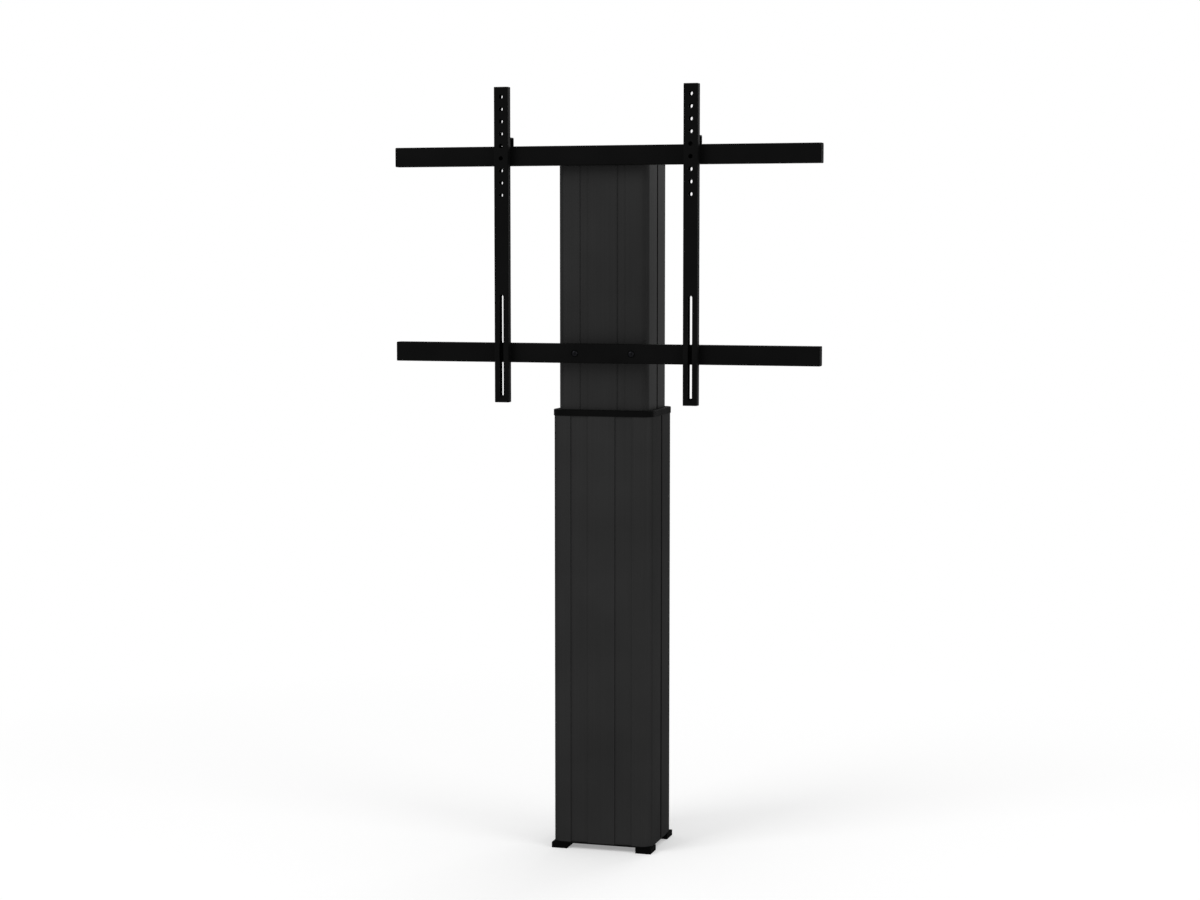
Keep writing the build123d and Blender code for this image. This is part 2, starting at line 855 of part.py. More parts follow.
def gear_z():
    return case_floor_z + (case_cavity_height - gear_width) / 2


def spindle_gear():
    wheel = extrude(gear_outline(spindle_teeth, 0), amount=gear_width)
    bore = upright_cylinder(bearing_inner_diameter + 2 * drive_fit, gear_width + 2 * overrun)
    return on_axis(gear_z()) * (wheel - at(0, 0, -overrun) * bore)


def pinion():
    half_tooth = pi / pinion_teeth
    wheel = extrude(gear_outline(pinion_teeth, half_tooth), amount=gear_width)
    bore = upright_cylinder(motor_shaft_diameter + 2 * drive_fit, gear_width + 2 * overrun)
    return at(motor_x, axis_y, gear_z()) * (wheel - at(0, 0, -overrun) * bore)


# Gear case with its bearings

def case_half_sizes():
    wheel_radius = spindle_pitch_radius + module + gear_tip_gap
    left = axis_x - wheel_radius - case_wall
    right = motor_x + pinion_pitch_radius + module + gear_tip_gap + case_wall
    return (left + right) / 2, right - left, 2 * (wheel_radius + case_wall)


def case_screw_places():
    middle, width, depth = case_half_sizes()
    reach_x = width / 2 - case_screw_inset
    reach_y = depth / 2 - case_screw_inset
    return [(middle + sx * reach_x, axis_y + sy * reach_y) for sx in (-1, 1) for sy in (-1, 1)]


def gear_case_base():
    middle, width, depth = case_half_sizes()
    block = at(middle, axis_y, plate_top_z) * slab(width, depth, case_joint_z - plate_top_z, case_corner)
    wheel_room = upright_cylinder(2 * (spindle_pitch_radius + module + gear_tip_gap), case_cavity_height)
    pinion_room = upright_cylinder(2 * (pinion_pitch_radius + module + gear_tip_gap), case_cavity_height)
    block -= on_axis(case_floor_z) * wheel_room
    block -= at(motor_x, axis_y, case_floor_z) * pinion_room
    seat = upright_cylinder(bearing_outer_diameter + 2 * drive_fit, bearing_width + overrun)
    block -= on_axis(case_floor_z - bearing_width) * seat
    for x, y in case_screw_places():
        hole = upright_cylinder(case_screw_diameter + 2 * thread_fit, case_joint_z)
        block -= at(x, y, 0) * hole
    return block


def gear_case_cover():
    middle, width, depth = case_half_sizes()
    block = at(middle, axis_y, case_joint_z) * slab(width, depth, case_cover_height, case_corner)
    seat = upright_cylinder(bearing_outer_diameter + 2 * drive_fit, bearing_width + overrun)
    block -= on_axis(case_joint_z - overrun) * seat
    way = upright_cylinder(spindle_collar_diameter + 2 * running_gap, case_cover_height + 2 * overrun)
    block -= on_axis(case_joint_z - overrun) * way
    shaft_way = upright_cylinder(motor_shaft_diameter + 2 * running_gap, case_cover_height + 2 * overrun)
    block -= at(motor_x, axis_y, case_joint_z - overrun) * shaft_way
    tube_seat = upright_cylinder(tube_flange_diameter + 2 * case_fit, tube_flange_height / 2 + overrun)
    block -= on_axis(tube_bottom_z) * tube_seat
    for x, y in case_screw_places():
        hole = upright_cylinder(case_screw_diameter + 2 * thread_fit, case_cover_height + 2 * overrun)
        block -= at(x, y, case_joint_z - overrun) * hole
    for x, y in motor_screw_places():
        hole = upright_cylinder(motor_screw_diameter + 2 * thread_fit, case_cover_height + 2 * overrun)
        block -= at(x, y, case_joint_z - overrun) * hole
    return block


def case_screws():
    length = case_top_z - foot_height
    shank = upright_cylinder(case_screw_diameter, length)
    head = at(0, 0, length) * upright_cylinder(case_screw_head, case_screw_head_height)
    return [at(x, y, foot_height) * (shank + head) for x, y in case_screw_places()]


def bearing_levels():
    return {"lower": case_floor_z - bearing_width, "upper": case_joint_z}


def inner_race_diameter():
    return bearing_inner_diameter + 2 * bearing_race


def bearing_outer_races():
    # the outer race with its two seals, which reach in to the inner race and hide the balls
    bore = inner_race_diameter() + 2 * bearing_seal_gap
    race = ring(bearing_outer_diameter, bore, bearing_width)
    recess = upright_cylinder(bearing_outer_diameter - 2 * bearing_race, 2 * bearing_seal_recess)
    race -= at(0, 0, -bearing_seal_recess) * recess
    race -= at(0, 0, bearing_width - bearing_seal_recess) * recess
    return [on_axis(z) * race for z in bearing_levels().values()]


def bearing_inner_races():
    bore = bearing_inner_diameter + 2 * drive_fit
    race = ring(inner_race_diameter(), bore, bearing_width)
    return [on_axis(z) * race for z in bearing_levels().values()]


# Spindle, tubes and drive nut

def spindle():
    bottom_z = case_floor_z - bearing_width
    journal = on_axis(bottom_z) * upright_cylinder(bearing_inner_diameter, spindle_collar_z - bottom_z)
    flange = on_axis(spindle_collar_z) * upright_cylinder(spindle_collar_diameter, spindle_collar_height)
    screw = on_axis(spindle_collar_z) * upright_cylinder(spindle_diameter, spindle_top_z - spindle_collar_z)
    return journal + flange + screw


def spindle_guide_ring():
    bore = spindle_diameter + 2 * drive_fit
    guide = ring(push_bore - 2 * running_gap, bore, guide_ring_height)
    return on_axis(spindle_top_z - guide_ring_height) * guide


def actuator_tube():
    flange = ring(tube_flange_diameter, tube_bore, tube_flange_height)
    flange = chamfer(flange.edges().group_by(Axis.Z)[-1].sort_by(SortBy.LENGTH)[-1], tube_edge)
    tube = ring(tube_diameter, tube_bore, tube_top_z - tube_bottom_z)
    return on_axis(tube_bottom_z) * (flange + tube)


def tube_bush():
    bore = push_diameter + 2 * running_gap
    stem = at(0, 0, -bush_height) * ring(tube_bore - 2 * drive_fit, bore, bush_height)
    rim = ring(tube_diameter, bore, bush_rim)
    rim = chamfer(rim.edges().group_by(Axis.Z)[-1].sort_by(SortBy.LENGTH)[-1], tube_edge)
    return on_axis(tube_top_z) * (stem + rim)


def drive_nut():
    flange = upright_cylinder(tube_bore - 2 * running_gap, nut_flange_height)
    spigot = upright_cylinder(push_bore - 2 * drive_fit, nut_height)
    bore = at(0, 0, -overrun) * upright_cylinder(spindle_diameter + 2 * drive_fit, nut_height + 2 * overrun)
    return on_axis(nut_bottom_z) * (flange + spigot - bore)


def push_tube():
    return on_axis(push_bottom_z) * ring(push_diameter, push_bore, push_length)


def rod_end():
    top_z = push_bottom_z + push_length
    spigot = at(0, 0, -rod_spigot) * upright_cylinder(push_bore - 2 * drive_fit, rod_spigot)
    shoulder = upright_cylinder(push_diameter, rod_shoulder)
    eye = slab(rod_end_width, push_diameter, rod_end_height, rod_end_corner)
    body = shoulder + eye + spigot
    hole = along_x(Cylinder((pin_diameter + 2 * drive_fit) / 2, push_diameter + 2 * overrun))
    return on_axis(top_z) * (body - at(0, 0, pin_rise) * hole)


# Cross bracket that ties the rod end to the inner column

def cross_bracket():
    # two cheeks along Y beside the rod end, closed above, with a flange on each column wall
    inside_depth = inner_depth - 2 * (inner_wall + inner_band_recess + head_spigot_fit)
    half_gap = rod_end_width / 2 + cheek_gap
    bottom_z = pin_z - cheek_drop
    depth = inner_depth - 2 * inner_wall
    width = 2 * (half_gap + cheek_thickness)
    body = on_axis(bottom_z) * upright_box(width, depth, cheek_height + cheek_thickness)
    body -= on_axis(bottom_z - overrun) * upright_box(2 * half_gap, inside_depth - 2 * cheek_thickness,
                                                      cheek_height + overrun)
    for side in (-1, 1):
        y = side * (depth / 2 - cheek_thickness / 2)
        flange_z = pin_z - flange_height / 2
        flange = upright_box(flange_width, cheek_thickness, flange_height)
        body += on_axis(flange_z) * at(0, y, 0) * flange
    hole = along_x(Cylinder((pin_diameter + 2 * drive_fit) / 2, width + 2 * overrun))
    body -= on_axis(pin_z) * hole
    for x, z in spacer_screw_places(lower_bar_z):
        body -= at(x, bar_back_y, z) * along_y(spacer_screw_cut())
    for x, z in rear_screw_places():
        body -= at(x, inner_front_y + inner_depth, z) * Rot(90, 0, 0) * rear_screw_cut()
    return body


def rear_screw_cut():
    return countersunk_hole(spacer_screw_diameter, spacer_screw_head, head_screw_length + overrun)


def rear_screw_places():
    return [(axis_x + sx * rear_screw_x, pin_z + sz * rear_screw_z) for sx in (-1, 1) for sz in (-1, 1)]


def rear_screws():
    screw = countersunk_screw(spacer_screw_diameter, spacer_screw_head, head_screw_length)
    return [at(x, inner_front_y + inner_depth, z) * Rot(90, 0, 0) * screw for x, z in rear_screw_places()]


def clevis_pin():
    half_width = rod_end_width / 2 + cheek_gap + cheek_thickness
    length = 2 * half_width + pin_washer_height
    shank = upright_cylinder(pin_diameter, length)
    head = at(0, 0, -pin_head_height) * upright_cylinder(pin_head_diameter, pin_head_height)
    return on_axis(pin_z) * at(-half_width, 0, 0) * along_x(shank + head)


def clevis_washer():
    half_width = rod_end_width / 2 + cheek_gap + cheek_thickness
    washer = ring(pin_head_diameter, pin_diameter + 2 * drive_fit, pin_washer_height)
    return on_axis(pin_z) * at(half_width, 0, 0) * along_x(washer)


# Motor

def motor_body():
    can = upright_cylinder(motor_diameter, motor_length)
    can = chamfer(can.edges().group_by(Axis.Z)[-1], motor_edge)
    band_diameter = motor_diameter + 2 * motor_band_reach
    band = at(0, 0, motor_length / 2) * upright_cylinder(band_diameter, motor_band_height)
    bore = upright_cylinder(motor_shaft_diameter + 2 * running_gap, motor_length / 2 + overrun)
    body = at(motor_x, axis_y, case_top_z) * (can + band - at(0, 0, -overrun) * bore)
    for x, y in motor_screw_places():
        hole = upright_cylinder(motor_screw_diameter + 2 * thread_fit, motor_screw_length)
        body -= at(x, y, case_top_z - overrun) * hole
    return body


def motor_shaft():
    bottom_z = gear_z()
    top_z = case_top_z + motor_length / 2
    return at(motor_x, axis_y, bottom_z) * upright_cylinder(motor_shaft_diameter, top_z - bottom_z)


def motor_screw_places():
    radius = motor_screw_circle / 2
    turns = [pi / 2 + 2 * pi * count / motor_screw_count for count in range(motor_screw_count)]
    return [(motor_x + radius * cos(turn), axis_y + radius * sin(turn)) for turn in turns]


def motor_screws():
    length = case_cover_height + motor_screw_length - 2 * overrun
    screw = upright_cylinder(motor_screw_diameter, length)
    return [at(x, y, case_joint_z) * screw for x, y in motor_screw_places()]


# Control box and power inlet

def control_middle_x():
    middle, width, _ = case_half_sizes()
    return middle - width / 2 - control_gap - control_width / 2


def control_box():
    shell = slab(control_width, control_depth, control_height - control_lid_height, control_corner)
    room = slab(control_width - 2 * control_wall, control_depth - 2 * control_wall,
                control_height, control_corner - control_wall)
    body = shell - at(0, 0, control_wall) * room
    return at(control_middle_x(), axis_y, plate_top_z) * body


def control_lid():
    lid = slab(control_width, control_depth, control_lid_height, control_corner)
    lid = chamfer(lid.faces().sort_by(Axis.Z)[-1].edges(), control_lid_edge)
    return at(control_middle_x(), axis_y, plate_top_z + control_height - control_lid_height) * lid


def inlet_spot():
    # +Z of the inlet's own frame points out of the back of the column
    return at(axis_x, axis_y + column_depth / 2, inlet_z) * Rot(-90, 0, 0)


def inlet_screw_places():
    return (-inlet_screw_spacing / 2, inlet_screw_spacing / 2)


def inlet_cutout():
    grown_width = inlet_body_width + 2 * thread_fit
    grown_height = inlet_body_height + 2 * thread_fit
    depth = column_wall + 2 * overrun
    cut = at(0, 0, -column_wall - overrun) * slab(grown_width, grown_height, depth, inlet_corner)
    for x in inlet_screw_places():
        cut += at(x, 0, -depth) * upright_cylinder(inlet_screw_diameter + 2 * thread_fit, 2 * depth)
    return inlet_spot() * cut


def power_inlet():
    flange = slab(inlet_width, inlet_height, inlet_flange, inlet_corner)
    body = slab(inlet_body_width, inlet_body_height, inlet_body_depth, inlet_corner)
    body = at(0, 0, -inlet_body_depth) * body
    socket = slab(inlet_socket_width, inlet_socket_height, inlet_socket_depth + overrun, inlet_corner)
    shell = flange + body - at(0, 0, inlet_flange - inlet_socket_depth) * socket
    for x in inlet_screw_places():
        shell -= at(x, 0, inlet_flange) * Rot(180, 0, 0) * countersunk_hole(
            inlet_screw_diameter, inlet_screw_head, inlet_screw_length)
    return inlet_spot() * shell


def inlet_pins():
    pin = upright_box(inlet_pin_width, inlet_pin_height, inlet_pin_length)
    floor = inlet_flange - inlet_socket_depth
    return [inlet_spot() * at(side * inlet_pin_spacing, 0, floor) * pin for side in (-1, 0, 1)]


def inlet_screws():
    screw = countersunk_screw(inlet_screw_diameter, inlet_screw_head, inlet_screw_length)
    return [inlet_spot() * at(x, 0, inlet_flange) * Rot(180, 0, 0) * screw for x in inlet_screw_places()]


# Every node with its solid, or its group of separate solids

def all_nodes():
    nodes = {
        "outer_column": outer_column(),
        "column_collar": collar(),
        "base_plate": base_plate(),
        "feet": feet(),
        "base_corner_screws": corner_screws(),
        "inner_column": inner_column(),
        "head_casting": head_casting(),
        "head_screws": head_screws(),
        "upper_bar": upper_bar(),
        "upper_bar_inserts": upper_bar_inserts(),
        "upper_bar_bolts": upper_bar_bolts() + upper_bar_washers(),
        "upper_bar_spacer": bar_spacer(upper_bar_z, []),
        "lower_bar": lower_bar(),
        "lower_bar_sleeves": lower_bar_sleeves(),
        "lower_bar_bolts": lower_bar_bolts(),
        "lower_bar_nuts": lower_bar_nuts(),
        "lower_bar_spacer": bar_spacer(lower_bar_z, nut_tracks()),
        "spacer_screws": spacer_screws(),
        "spindle": spindle(),
        "spindle_gear": spindle_gear(),
        "spindle_guide_ring": spindle_guide_ring(),
        "bearing_outer_races": bearing_outer_races(),
        "bearing_inner_races": bearing_inner_races(),
        "gear_case_base": gear_case_base(),
        "gear_case_cover": gear_case_cover(),
        "gear_case_screws": case_screws(),
        "motor_body": motor_body(),
        "motor_shaft": motor_shaft(),
        "motor_pinion": pinion(),
        "motor_screws": motor_screws(),
        "actuator_tube": actuator_tube(),
        "actuator_bush": tube_bush(),
        "drive_nut": drive_nut(),
        "push_tube": push_tube(),
        "rod_end": rod_end(),
        "cross_bracket": cross_bracket(),
        "cross_bracket_screws": rear_screws(),
        "clevis_pin": [clevis_pin(), clevis_washer()],
        "control_box": control_box(),
        "control_box_lid": control_lid(),
        "power_inlet": power_inlet(),
        "power_inlet_pins": inlet_pins(),
        "power_inlet_screws": inlet_screws(),
    }
    nodes["upper_glides"] = [upper_glide(name) for name in face_turns()]
    nodes["lower_glides"] = [lower_glide(name) for name in face_turns()]
    for level, z in bar_heights.items():
        nodes[level + "_bar_plugs"] = [bar_plug(side, z) for side in (-1, 1)]
    for side, x in arm_places.items():
        nodes[side + "_arm"] = arm(x)
        nodes[side + "_arm_plugs"] = [arm_plug(x, top) for top in (True, False)]
        nodes[side + "_arm_hook"] = arm_hook(x)
        nodes[side + "_level_screw"] = [level_screw(x), level_nut(x)]
        nodes[side + "_lock_screw"] = lock_screw(x)
    return nodes


os.makedirs("parts", exist_ok=True)
for node_name, shape in all_nodes().items():
    solid = Compound(children=shape) if isinstance(shape, list) else shape
    export_step(solid, "parts/" + node_name + ".step")
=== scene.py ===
# Electric television lift: a black two-stage aluminium column that raises two crossbars and
# two perforated arms. Each section below makes one piece or group of like pieces.
from math import cos, pi, radians, sin, tan

import bmesh
import bpy
from mathutils import Matrix, Vector


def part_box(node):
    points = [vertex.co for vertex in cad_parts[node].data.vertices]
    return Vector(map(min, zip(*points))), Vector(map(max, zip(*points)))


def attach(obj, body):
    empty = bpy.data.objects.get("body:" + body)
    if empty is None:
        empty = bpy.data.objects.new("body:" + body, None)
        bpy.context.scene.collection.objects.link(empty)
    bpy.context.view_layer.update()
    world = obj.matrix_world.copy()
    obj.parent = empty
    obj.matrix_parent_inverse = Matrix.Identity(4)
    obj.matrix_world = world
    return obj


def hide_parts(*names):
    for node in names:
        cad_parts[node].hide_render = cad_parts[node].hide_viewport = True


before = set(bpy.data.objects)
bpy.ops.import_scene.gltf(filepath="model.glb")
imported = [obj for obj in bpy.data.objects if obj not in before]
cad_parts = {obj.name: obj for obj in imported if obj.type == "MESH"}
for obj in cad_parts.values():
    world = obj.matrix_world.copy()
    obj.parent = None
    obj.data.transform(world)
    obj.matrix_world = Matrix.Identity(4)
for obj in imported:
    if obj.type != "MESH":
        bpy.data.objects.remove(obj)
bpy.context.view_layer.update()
mm = 0.001

# Camera: it stands a little to the right of the lift and a little above its middle, far off
# with a long lens, which is the viewing angle of the photograph.
view_yaw = radians(16.5)
view_pitch = radians(4.8)
view_distance = 4894.4 * mm
view_target = Vector((-5.7, -90.85, 843.3)) * mm

camera = bpy.data.objects.new("camera", bpy.data.cameras.new("camera"))
camera.data.sensor_width = 36
camera.data.lens = 71.65
backwards = Vector((sin(view_yaw) * cos(view_pitch), -cos(view_yaw) * cos(view_pitch),
                    sin(view_pitch)))
camera.location = view_target + backwards * view_distance
camera.rotation_mode = "QUATERNION"
camera.rotation_quaternion = (-backwards).to_track_quat("-Z", "Y")
bpy.context.scene.collection.objects.link(camera)
bpy.context.scene.camera = camera
bpy.context.scene.view_settings.view_transform = "Standard"


# Studio: a white world and a white floor, with one wide lamp from the front left and two weaker
# ones from the right and the back, so that black reads flat and the floor keeps a shadow.
def linear(colour):
    # an sRGB hex colour as the linear values that Blender's sockets take
    shares = [int(colour[start:start + 2], 16) / 255 for start in (1, 3, 5)]
    return [c / 12.92 if c <= 0.04045 else ((c + 0.055) / 1.055) ** 2.4 for c in shares] + [1]


def fed(tree, node, inputs):
    # the node with its inputs given as values, as sockets, or as nodes for their first output
    for socket, value in inputs.items():
        if isinstance(value, bpy.types.Node):
            value = value.outputs[0]
        if isinstance(value, bpy.types.NodeSocket):
            tree.links.new(value, node.inputs[socket])
        else:
            node.inputs[socket].default_value = value
    return node


def add(tree, kind, inputs=None, **settings):
    # one new node with its settings and its inputs
    made = tree.nodes.new(kind)
    for name, value in settings.items():
        setattr(made, name, value)
    return fed(tree, made, inputs or {})


# the world is plain white to the eye, in gloss and through glass, and lights at a lower level
light_level, seen_level = 0.55, 1.0
world = bpy.data.worlds.new("white studio")
world.use_nodes = True
bpy.context.scene.world = world
sky = world.node_tree
ray = add(sky, "ShaderNodeLightPath").outputs
mirrored = add(sky, "ShaderNodeMath", {0: ray["Is Camera Ray"], 1: ray["Is Glossy Ray"]},
               operation="MAXIMUM")
white_for = add(sky, "ShaderNodeMath", {0: mirrored, 1: ray["Is Transmission Ray"]},
                operation="MAXIMUM")
level = add(sky, "ShaderNodeMapRange", {
    "Value": white_for, "To Min": light_level, "To Max": seen_level})
fed(sky, sky.nodes["Background"], {"Color": linear("#ffffff"), "Strength": level})

# the floor is matt white paper near the lift, where it takes the shadow, and fades to pure white
floor_reach, shadow_reach, white_from = 40, 0.5, 2.2
floor_mesh = bpy.data.meshes.new("floor")
floor_mesh.from_pydata([(sx * floor_reach, sy * floor_reach, 0)
                        for sx, sy in ((-1, -1), (1, -1), (1, 1), (-1, 1))], [], [(0, 1, 2, 3)])
floor = bpy.data.objects.new("floor", floor_mesh)
bpy.context.scene.collection.objects.link(floor)
floor_white = bpy.data.materials.new("white studio floor")
floor_white.use_nodes = True
paper = floor_white.node_tree
paper_shader = fed(paper, paper.nodes["Principled BSDF"], {
    "Base Color": linear("#e6e6e6"), "Roughness": 1, "Specular IOR Level": 0,
    "Emission Color": linear("#ffffff"), "Emission Strength": 0.3})
spot = add(paper, "ShaderNodeTexCoord").outputs["Object"]
away = add(paper, "ShaderNodeVectorMath", {0: spot}, operation="LENGTH")
fade = add(paper, "ShaderNodeMapRange", {
    "Value": away.outputs["Value"], "From Min": shadow_reach, "From Max": white_from})
glow = add(paper, "ShaderNodeEmission", {"Color": linear("#ffffff"), "Strength": 1.0})
sheet = add(paper, "ShaderNodeMixShader", {0: fade, 1: paper_shader, 2: glow})
fed(paper, paper.nodes["Material Output"], {"Surface": sheet})
floor_mesh.materials.append(floor_white)

lamps_face = Vector((0, 0, 0.8))
for name, place, size, watts in (("key", (-2.6, -3.6, 3.6), 2.6, 95),
                                 ("fill", (3.97, -1.6, 2.2), 2.2, 46),
                                 ("back", (0.6, 3.6, 2.8), 2.4, 36)):
    lamp = bpy.data.lights.new(name, "AREA")
    lamp.size = size
    lamp.energy = watts
    lamp_object = bpy.data.objects.new(name, lamp)
    lamp_object.location = place
    lamp_object.rotation_mode = "QUATERNION"
    lamp_object.rotation_quaternion = (lamps_face - Vector(place)).to_track_quat("-Z", "Y")
    bpy.context.scene.collection.objects.link(lamp_object)


# Outer column: an aluminium extrusion, black anodised, 212 by 172 mm, with two sunk bands in
# its front and back and a groove down each side. It stands on the base plate and its four
# screws, and its back wall is cut out low down for the power inlet.
def rounded_loop(corners, step=radians(18)):
    # a closed outline through (x, y, radius) corners, each turned by an arc of its radius
    straight_on = radians(89.5)
    points = []
    for index, (x, y, radius) in enumerate(corners):
        here = Vector((x, y))
        before = (Vector(corners[index - 1][:2]) - here).normalized()
        after = (Vector(corners[(index + 1) % len(corners)][:2]) - here).normalized()
        half = before.angle(after) / 2
        if radius == 0 or half > straight_on:
            points.append(here)
            continue
        start = here + before * radius / tan(half)
        end = here + after * radius / tan(half)
        middle = here + (before + after).normalized() * radius / sin(half)
        turn = pi - 2 * half
        sense = 1 if (start - middle).cross(end - middle) > 0 else -1
        steps = max(2, round(turn / step))
        for count in range(steps + 1):
            spoke = (start - middle).copy()
            spoke.rotate(Matrix.Rotation(sense * turn * count / steps, 2))
            points.append(middle + spoke)
    return points


def box_corners(width, depth, radius):
    # the four corners of a rectangle round the origin, for rounded_loop
    return [(sx * width / 2, sy * depth / 2, radius)
            for sx, sy in ((-1, -1), (1, -1), (1, 1), (-1, 1))]


def extruded(loops, low, high, middle=Vector((0, 0, 0))):
    # a prism between two heights, its outline the first loop and its openings the others, round
    # the middle given
    shape = bmesh.new()
    rims = {low: [], high: []}
    for loop in loops:
        rings = {}
        for z in (low, high):
            rings[z] = [shape.verts.new((x + middle.x, y + middle.y, z)) for x, y in loop]
            for index, vert in enumerate(rings[z]):
                rims[z].append(shape.edges.new((rings[z][index - 1], vert)))
        for index in range(len(loop)):
            shape.faces.new((rings[low][index - 1], rings[low][index],
                             rings[high][index], rings[high][index - 1]))
    for z in (low, high):
        bmesh.ops.triangle_fill(shape, use_beauty=True, use_dissolve=False, edges=rims[z])
    bmesh.ops.recalc_face_normals(shape, faces=shape.faces)
    return shape


def as_piece(shape, name):
    # the finished shape as an object of its own, shaded smooth
    mesh = bpy.data.meshes.new(name)
    shape.to_mesh(mesh)
    shape.free()
    mesh.shade_smooth()
    piece = bpy.data.objects.new(name, mesh)
    bpy.context.scene.collection.objects.link(piece)
    return piece


def bored(piece, tool, name):
    # the tool's form is cut out of the piece when its modifiers are applied
    cut = piece.modifiers.new(name, "BOOLEAN")
    cut.object = tool
    cut.solver = "EXACT"
    return cut


def eased(piece, width, segments=2):
    # breaks the sharp edges as tumbling, paint or a mould does, and keeps the flats flat
    bevel = piece.modifiers.new("eased edges", "BEVEL")
    bevel.width = width
    bevel.segments = segments
    bevel.limit_method = "ANGLE"
    bevel.angle_limit = radians(35)
    bevel.use_clamp_overlap = True
    flats = piece.modifiers.new("flat faces", "WEIGHTED_NORMAL")
    flats.keep_sharp = True
    return piece


def applied(piece, material):
    # the piece with its modifiers baked into a plain mesh, in one material
    evaluated = piece.evaluated_get(bpy.context.evaluated_depsgraph_get())
    mesh = bpy.data.meshes.new_from_object(evaluated)
    piece.modifiers.clear()
    old = piece.data
    piece.data = mesh
    mesh.name = piece.name
    bpy.data.meshes.remove(old)
    mesh.materials.clear()
    mesh.materials.append(material)
    return piece


def box_of(node_name):
    # the low corner, the high corner and the middle of a CAD node
    low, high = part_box(node_name)
    return low, high, (low + high) / 2


def finish_of(name):
    # a new material, its node tree, its shader, and the place on the part that its grain follows
    material = bpy.data.materials.new(name)
    material.use_nodes = True
    tree = material.node_tree
    place = add(tree, "ShaderNodeTexCoord").outputs["Object"]
    return material, tree, tree.nodes["Principled BSDF"], place


def toned(tree, colour, pattern, spread, shades):
    # a colour made darker and lighter, from shade to shade over the spread of a pattern
    light = add(tree, "ShaderNodeMapRange", {
        "Value": pattern, "From Min": spread[0], "From Max": spread[1],
        "To Min": shades[0], "To Max": shades[1]})
    return add(tree, "ShaderNodeVectorMath", {0: linear(colour)[:3], "Scale": light},
               operation="SCALE")


def edge_wear_and_highlight(tree, body, worn_and_highlit, grain, reach, sharpness):
    # the body colour with a lighter one along its edges only, broken up by the grain, partly
    # edge wear and partly a painted highlight; inputs 6 and 7 of a Mix node are its two colours,
    # and output 2 the mixed one
    true_normal = add(tree, "ShaderNodeNewGeometry").outputs["Normal"]
    rounded = add(tree, "ShaderNodeBevel", {"Radius": reach, "Normal": true_normal}, samples=6)
    along = add(tree, "ShaderNodeVectorMath", {0: true_normal, 1: rounded},
                operation="DOT_PRODUCT")
    edge = add(tree, "ShaderNodeMapRange", {
        "Value": along.outputs["Value"], "From Min": 1.0, "From Max": 1 - sharpness})
    wear_and_highlight_mask = add(tree, "ShaderNodeMath", {0: edge, 1: grain}, operation="MULTIPLY")
    return add(tree, "ShaderNodeMix", {0: wear_and_highlight_mask, 6: body, 7: linear(worn_and_highlit)},
               data_type="RGBA").outputs[2]


def black_anodised(name, colour, worn_and_highlit, grazing, groove_painted_shade):
    # anodised aluminium as it comes from the die, its dyed skin half metal and half plain
    # colour: satin black with faint lines along the extrusion, slightly lighter along the edges
    # as handling wear and a painted highlight, and darker in the side grooves as painted shade
    line_width, line_run, grain_size, cloud_size = 1.4 * mm, 700 * mm, 0.5 * mm, 160 * mm
    groove_shade_reach = 4.2 * mm
    material, tree, shader, place = finish_of(name)
    drawn = add(tree, "ShaderNodeMapping", {
        "Vector": place, "Scale": (1 / line_width, 1 / line_width, 1 / line_run)})
    lines = add(tree, "ShaderNodeTexNoise", {
        "Vector": drawn, "Scale": 1, "Detail": 4, "Roughness": 0.7})
    grain = add(tree, "ShaderNodeTexNoise", {
        "Vector": place, "Scale": 1 / grain_size, "Detail": 2})
    cloud = add(tree, "ShaderNodeTexNoise", {
        "Vector": place, "Scale": 1 / cloud_size, "Detail": 2})
    tone = add(tree, "ShaderNodeMath", {0: lines, 1: cloud}, operation="ADD")
    body = toned(tree, colour, tone, (0.7, 1.3), (0.86, 1.14))
    skin = edge_wear_and_highlight(tree, body, worn_and_highlit, grain, reach=0.8 * mm, sharpness=0.25)
    # painted shade: the colour goes darker across the side grooves, where their walls fall in
    # shade
    across = add(tree, "ShaderNodeSeparateXYZ", {0: place})
    groove_shade_mask = add(tree, "ShaderNodeMath", {
        0: across.outputs["Y"], 1: column_middle.y, 2: groove_shade_reach}, operation="COMPARE")
    skin_with_groove_shade = add(tree, "ShaderNodeMix", {0: groove_shade_mask, 6: skin, 7: linear(groove_painted_shade)},
                  data_type="RGBA")
    dull = add(tree, "ShaderNodeMapRange", {
        "Value": lines, "From Min": 0.3, "From Max": 0.7, "To Min": 0.40, "To Max": 0.52})
    etched = add(tree, "ShaderNodeBump", {
        "Height": grain, "Distance": 0.01 * mm, "Strength": 0.5})
    scored = add(tree, "ShaderNodeBump", {
        "Height": lines, "Distance": 0.03 * mm, "Strength": 0.6, "Normal": etched})
    fed(tree, shader, {
        "Base Color": skin_with_groove_shade.outputs[2], "Roughness": dull, "Normal": scored,
        "Metallic": 0.5, "Specular IOR Level": 0, "Specular Tint": linear(grazing)})
    return material


def column_corners(width, depth, corner, bands, recess, groove, groove_recess, soft):
    # outline of an extrusion, counter-clockwise from its front left corner
    inner_edge, outer_edge = bands
    face = []
    for near, far in ((-outer_edge, -inner_edge), (inner_edge, outer_edge)):
        face += [(near, 0, soft), (near, recess, soft), (far, recess, soft), (far, 0, soft)]
    side = [(-groove / 2, 0, soft), (-groove / 2, groove_recess, soft),
            (groove / 2, groove_recess, soft), (groove / 2, 0, soft)]
    half_w, half_d = width / 2, depth / 2
    corners = [(-half_w, -half_d, corner)] + [(x, y - half_d, r) for x, y, r in face]
    corners += [(half_w, -half_d, corner)] + [(half_w - y, x, r) for x, y, r in side]
    corners += [(half_w, half_d, corner)] + [(-x, half_d - y, r) for x, y, r in face]
    corners += [(-half_w, half_d, corner)] + [(y - half_w, -x, r) for x, y, r in side]
    return corners


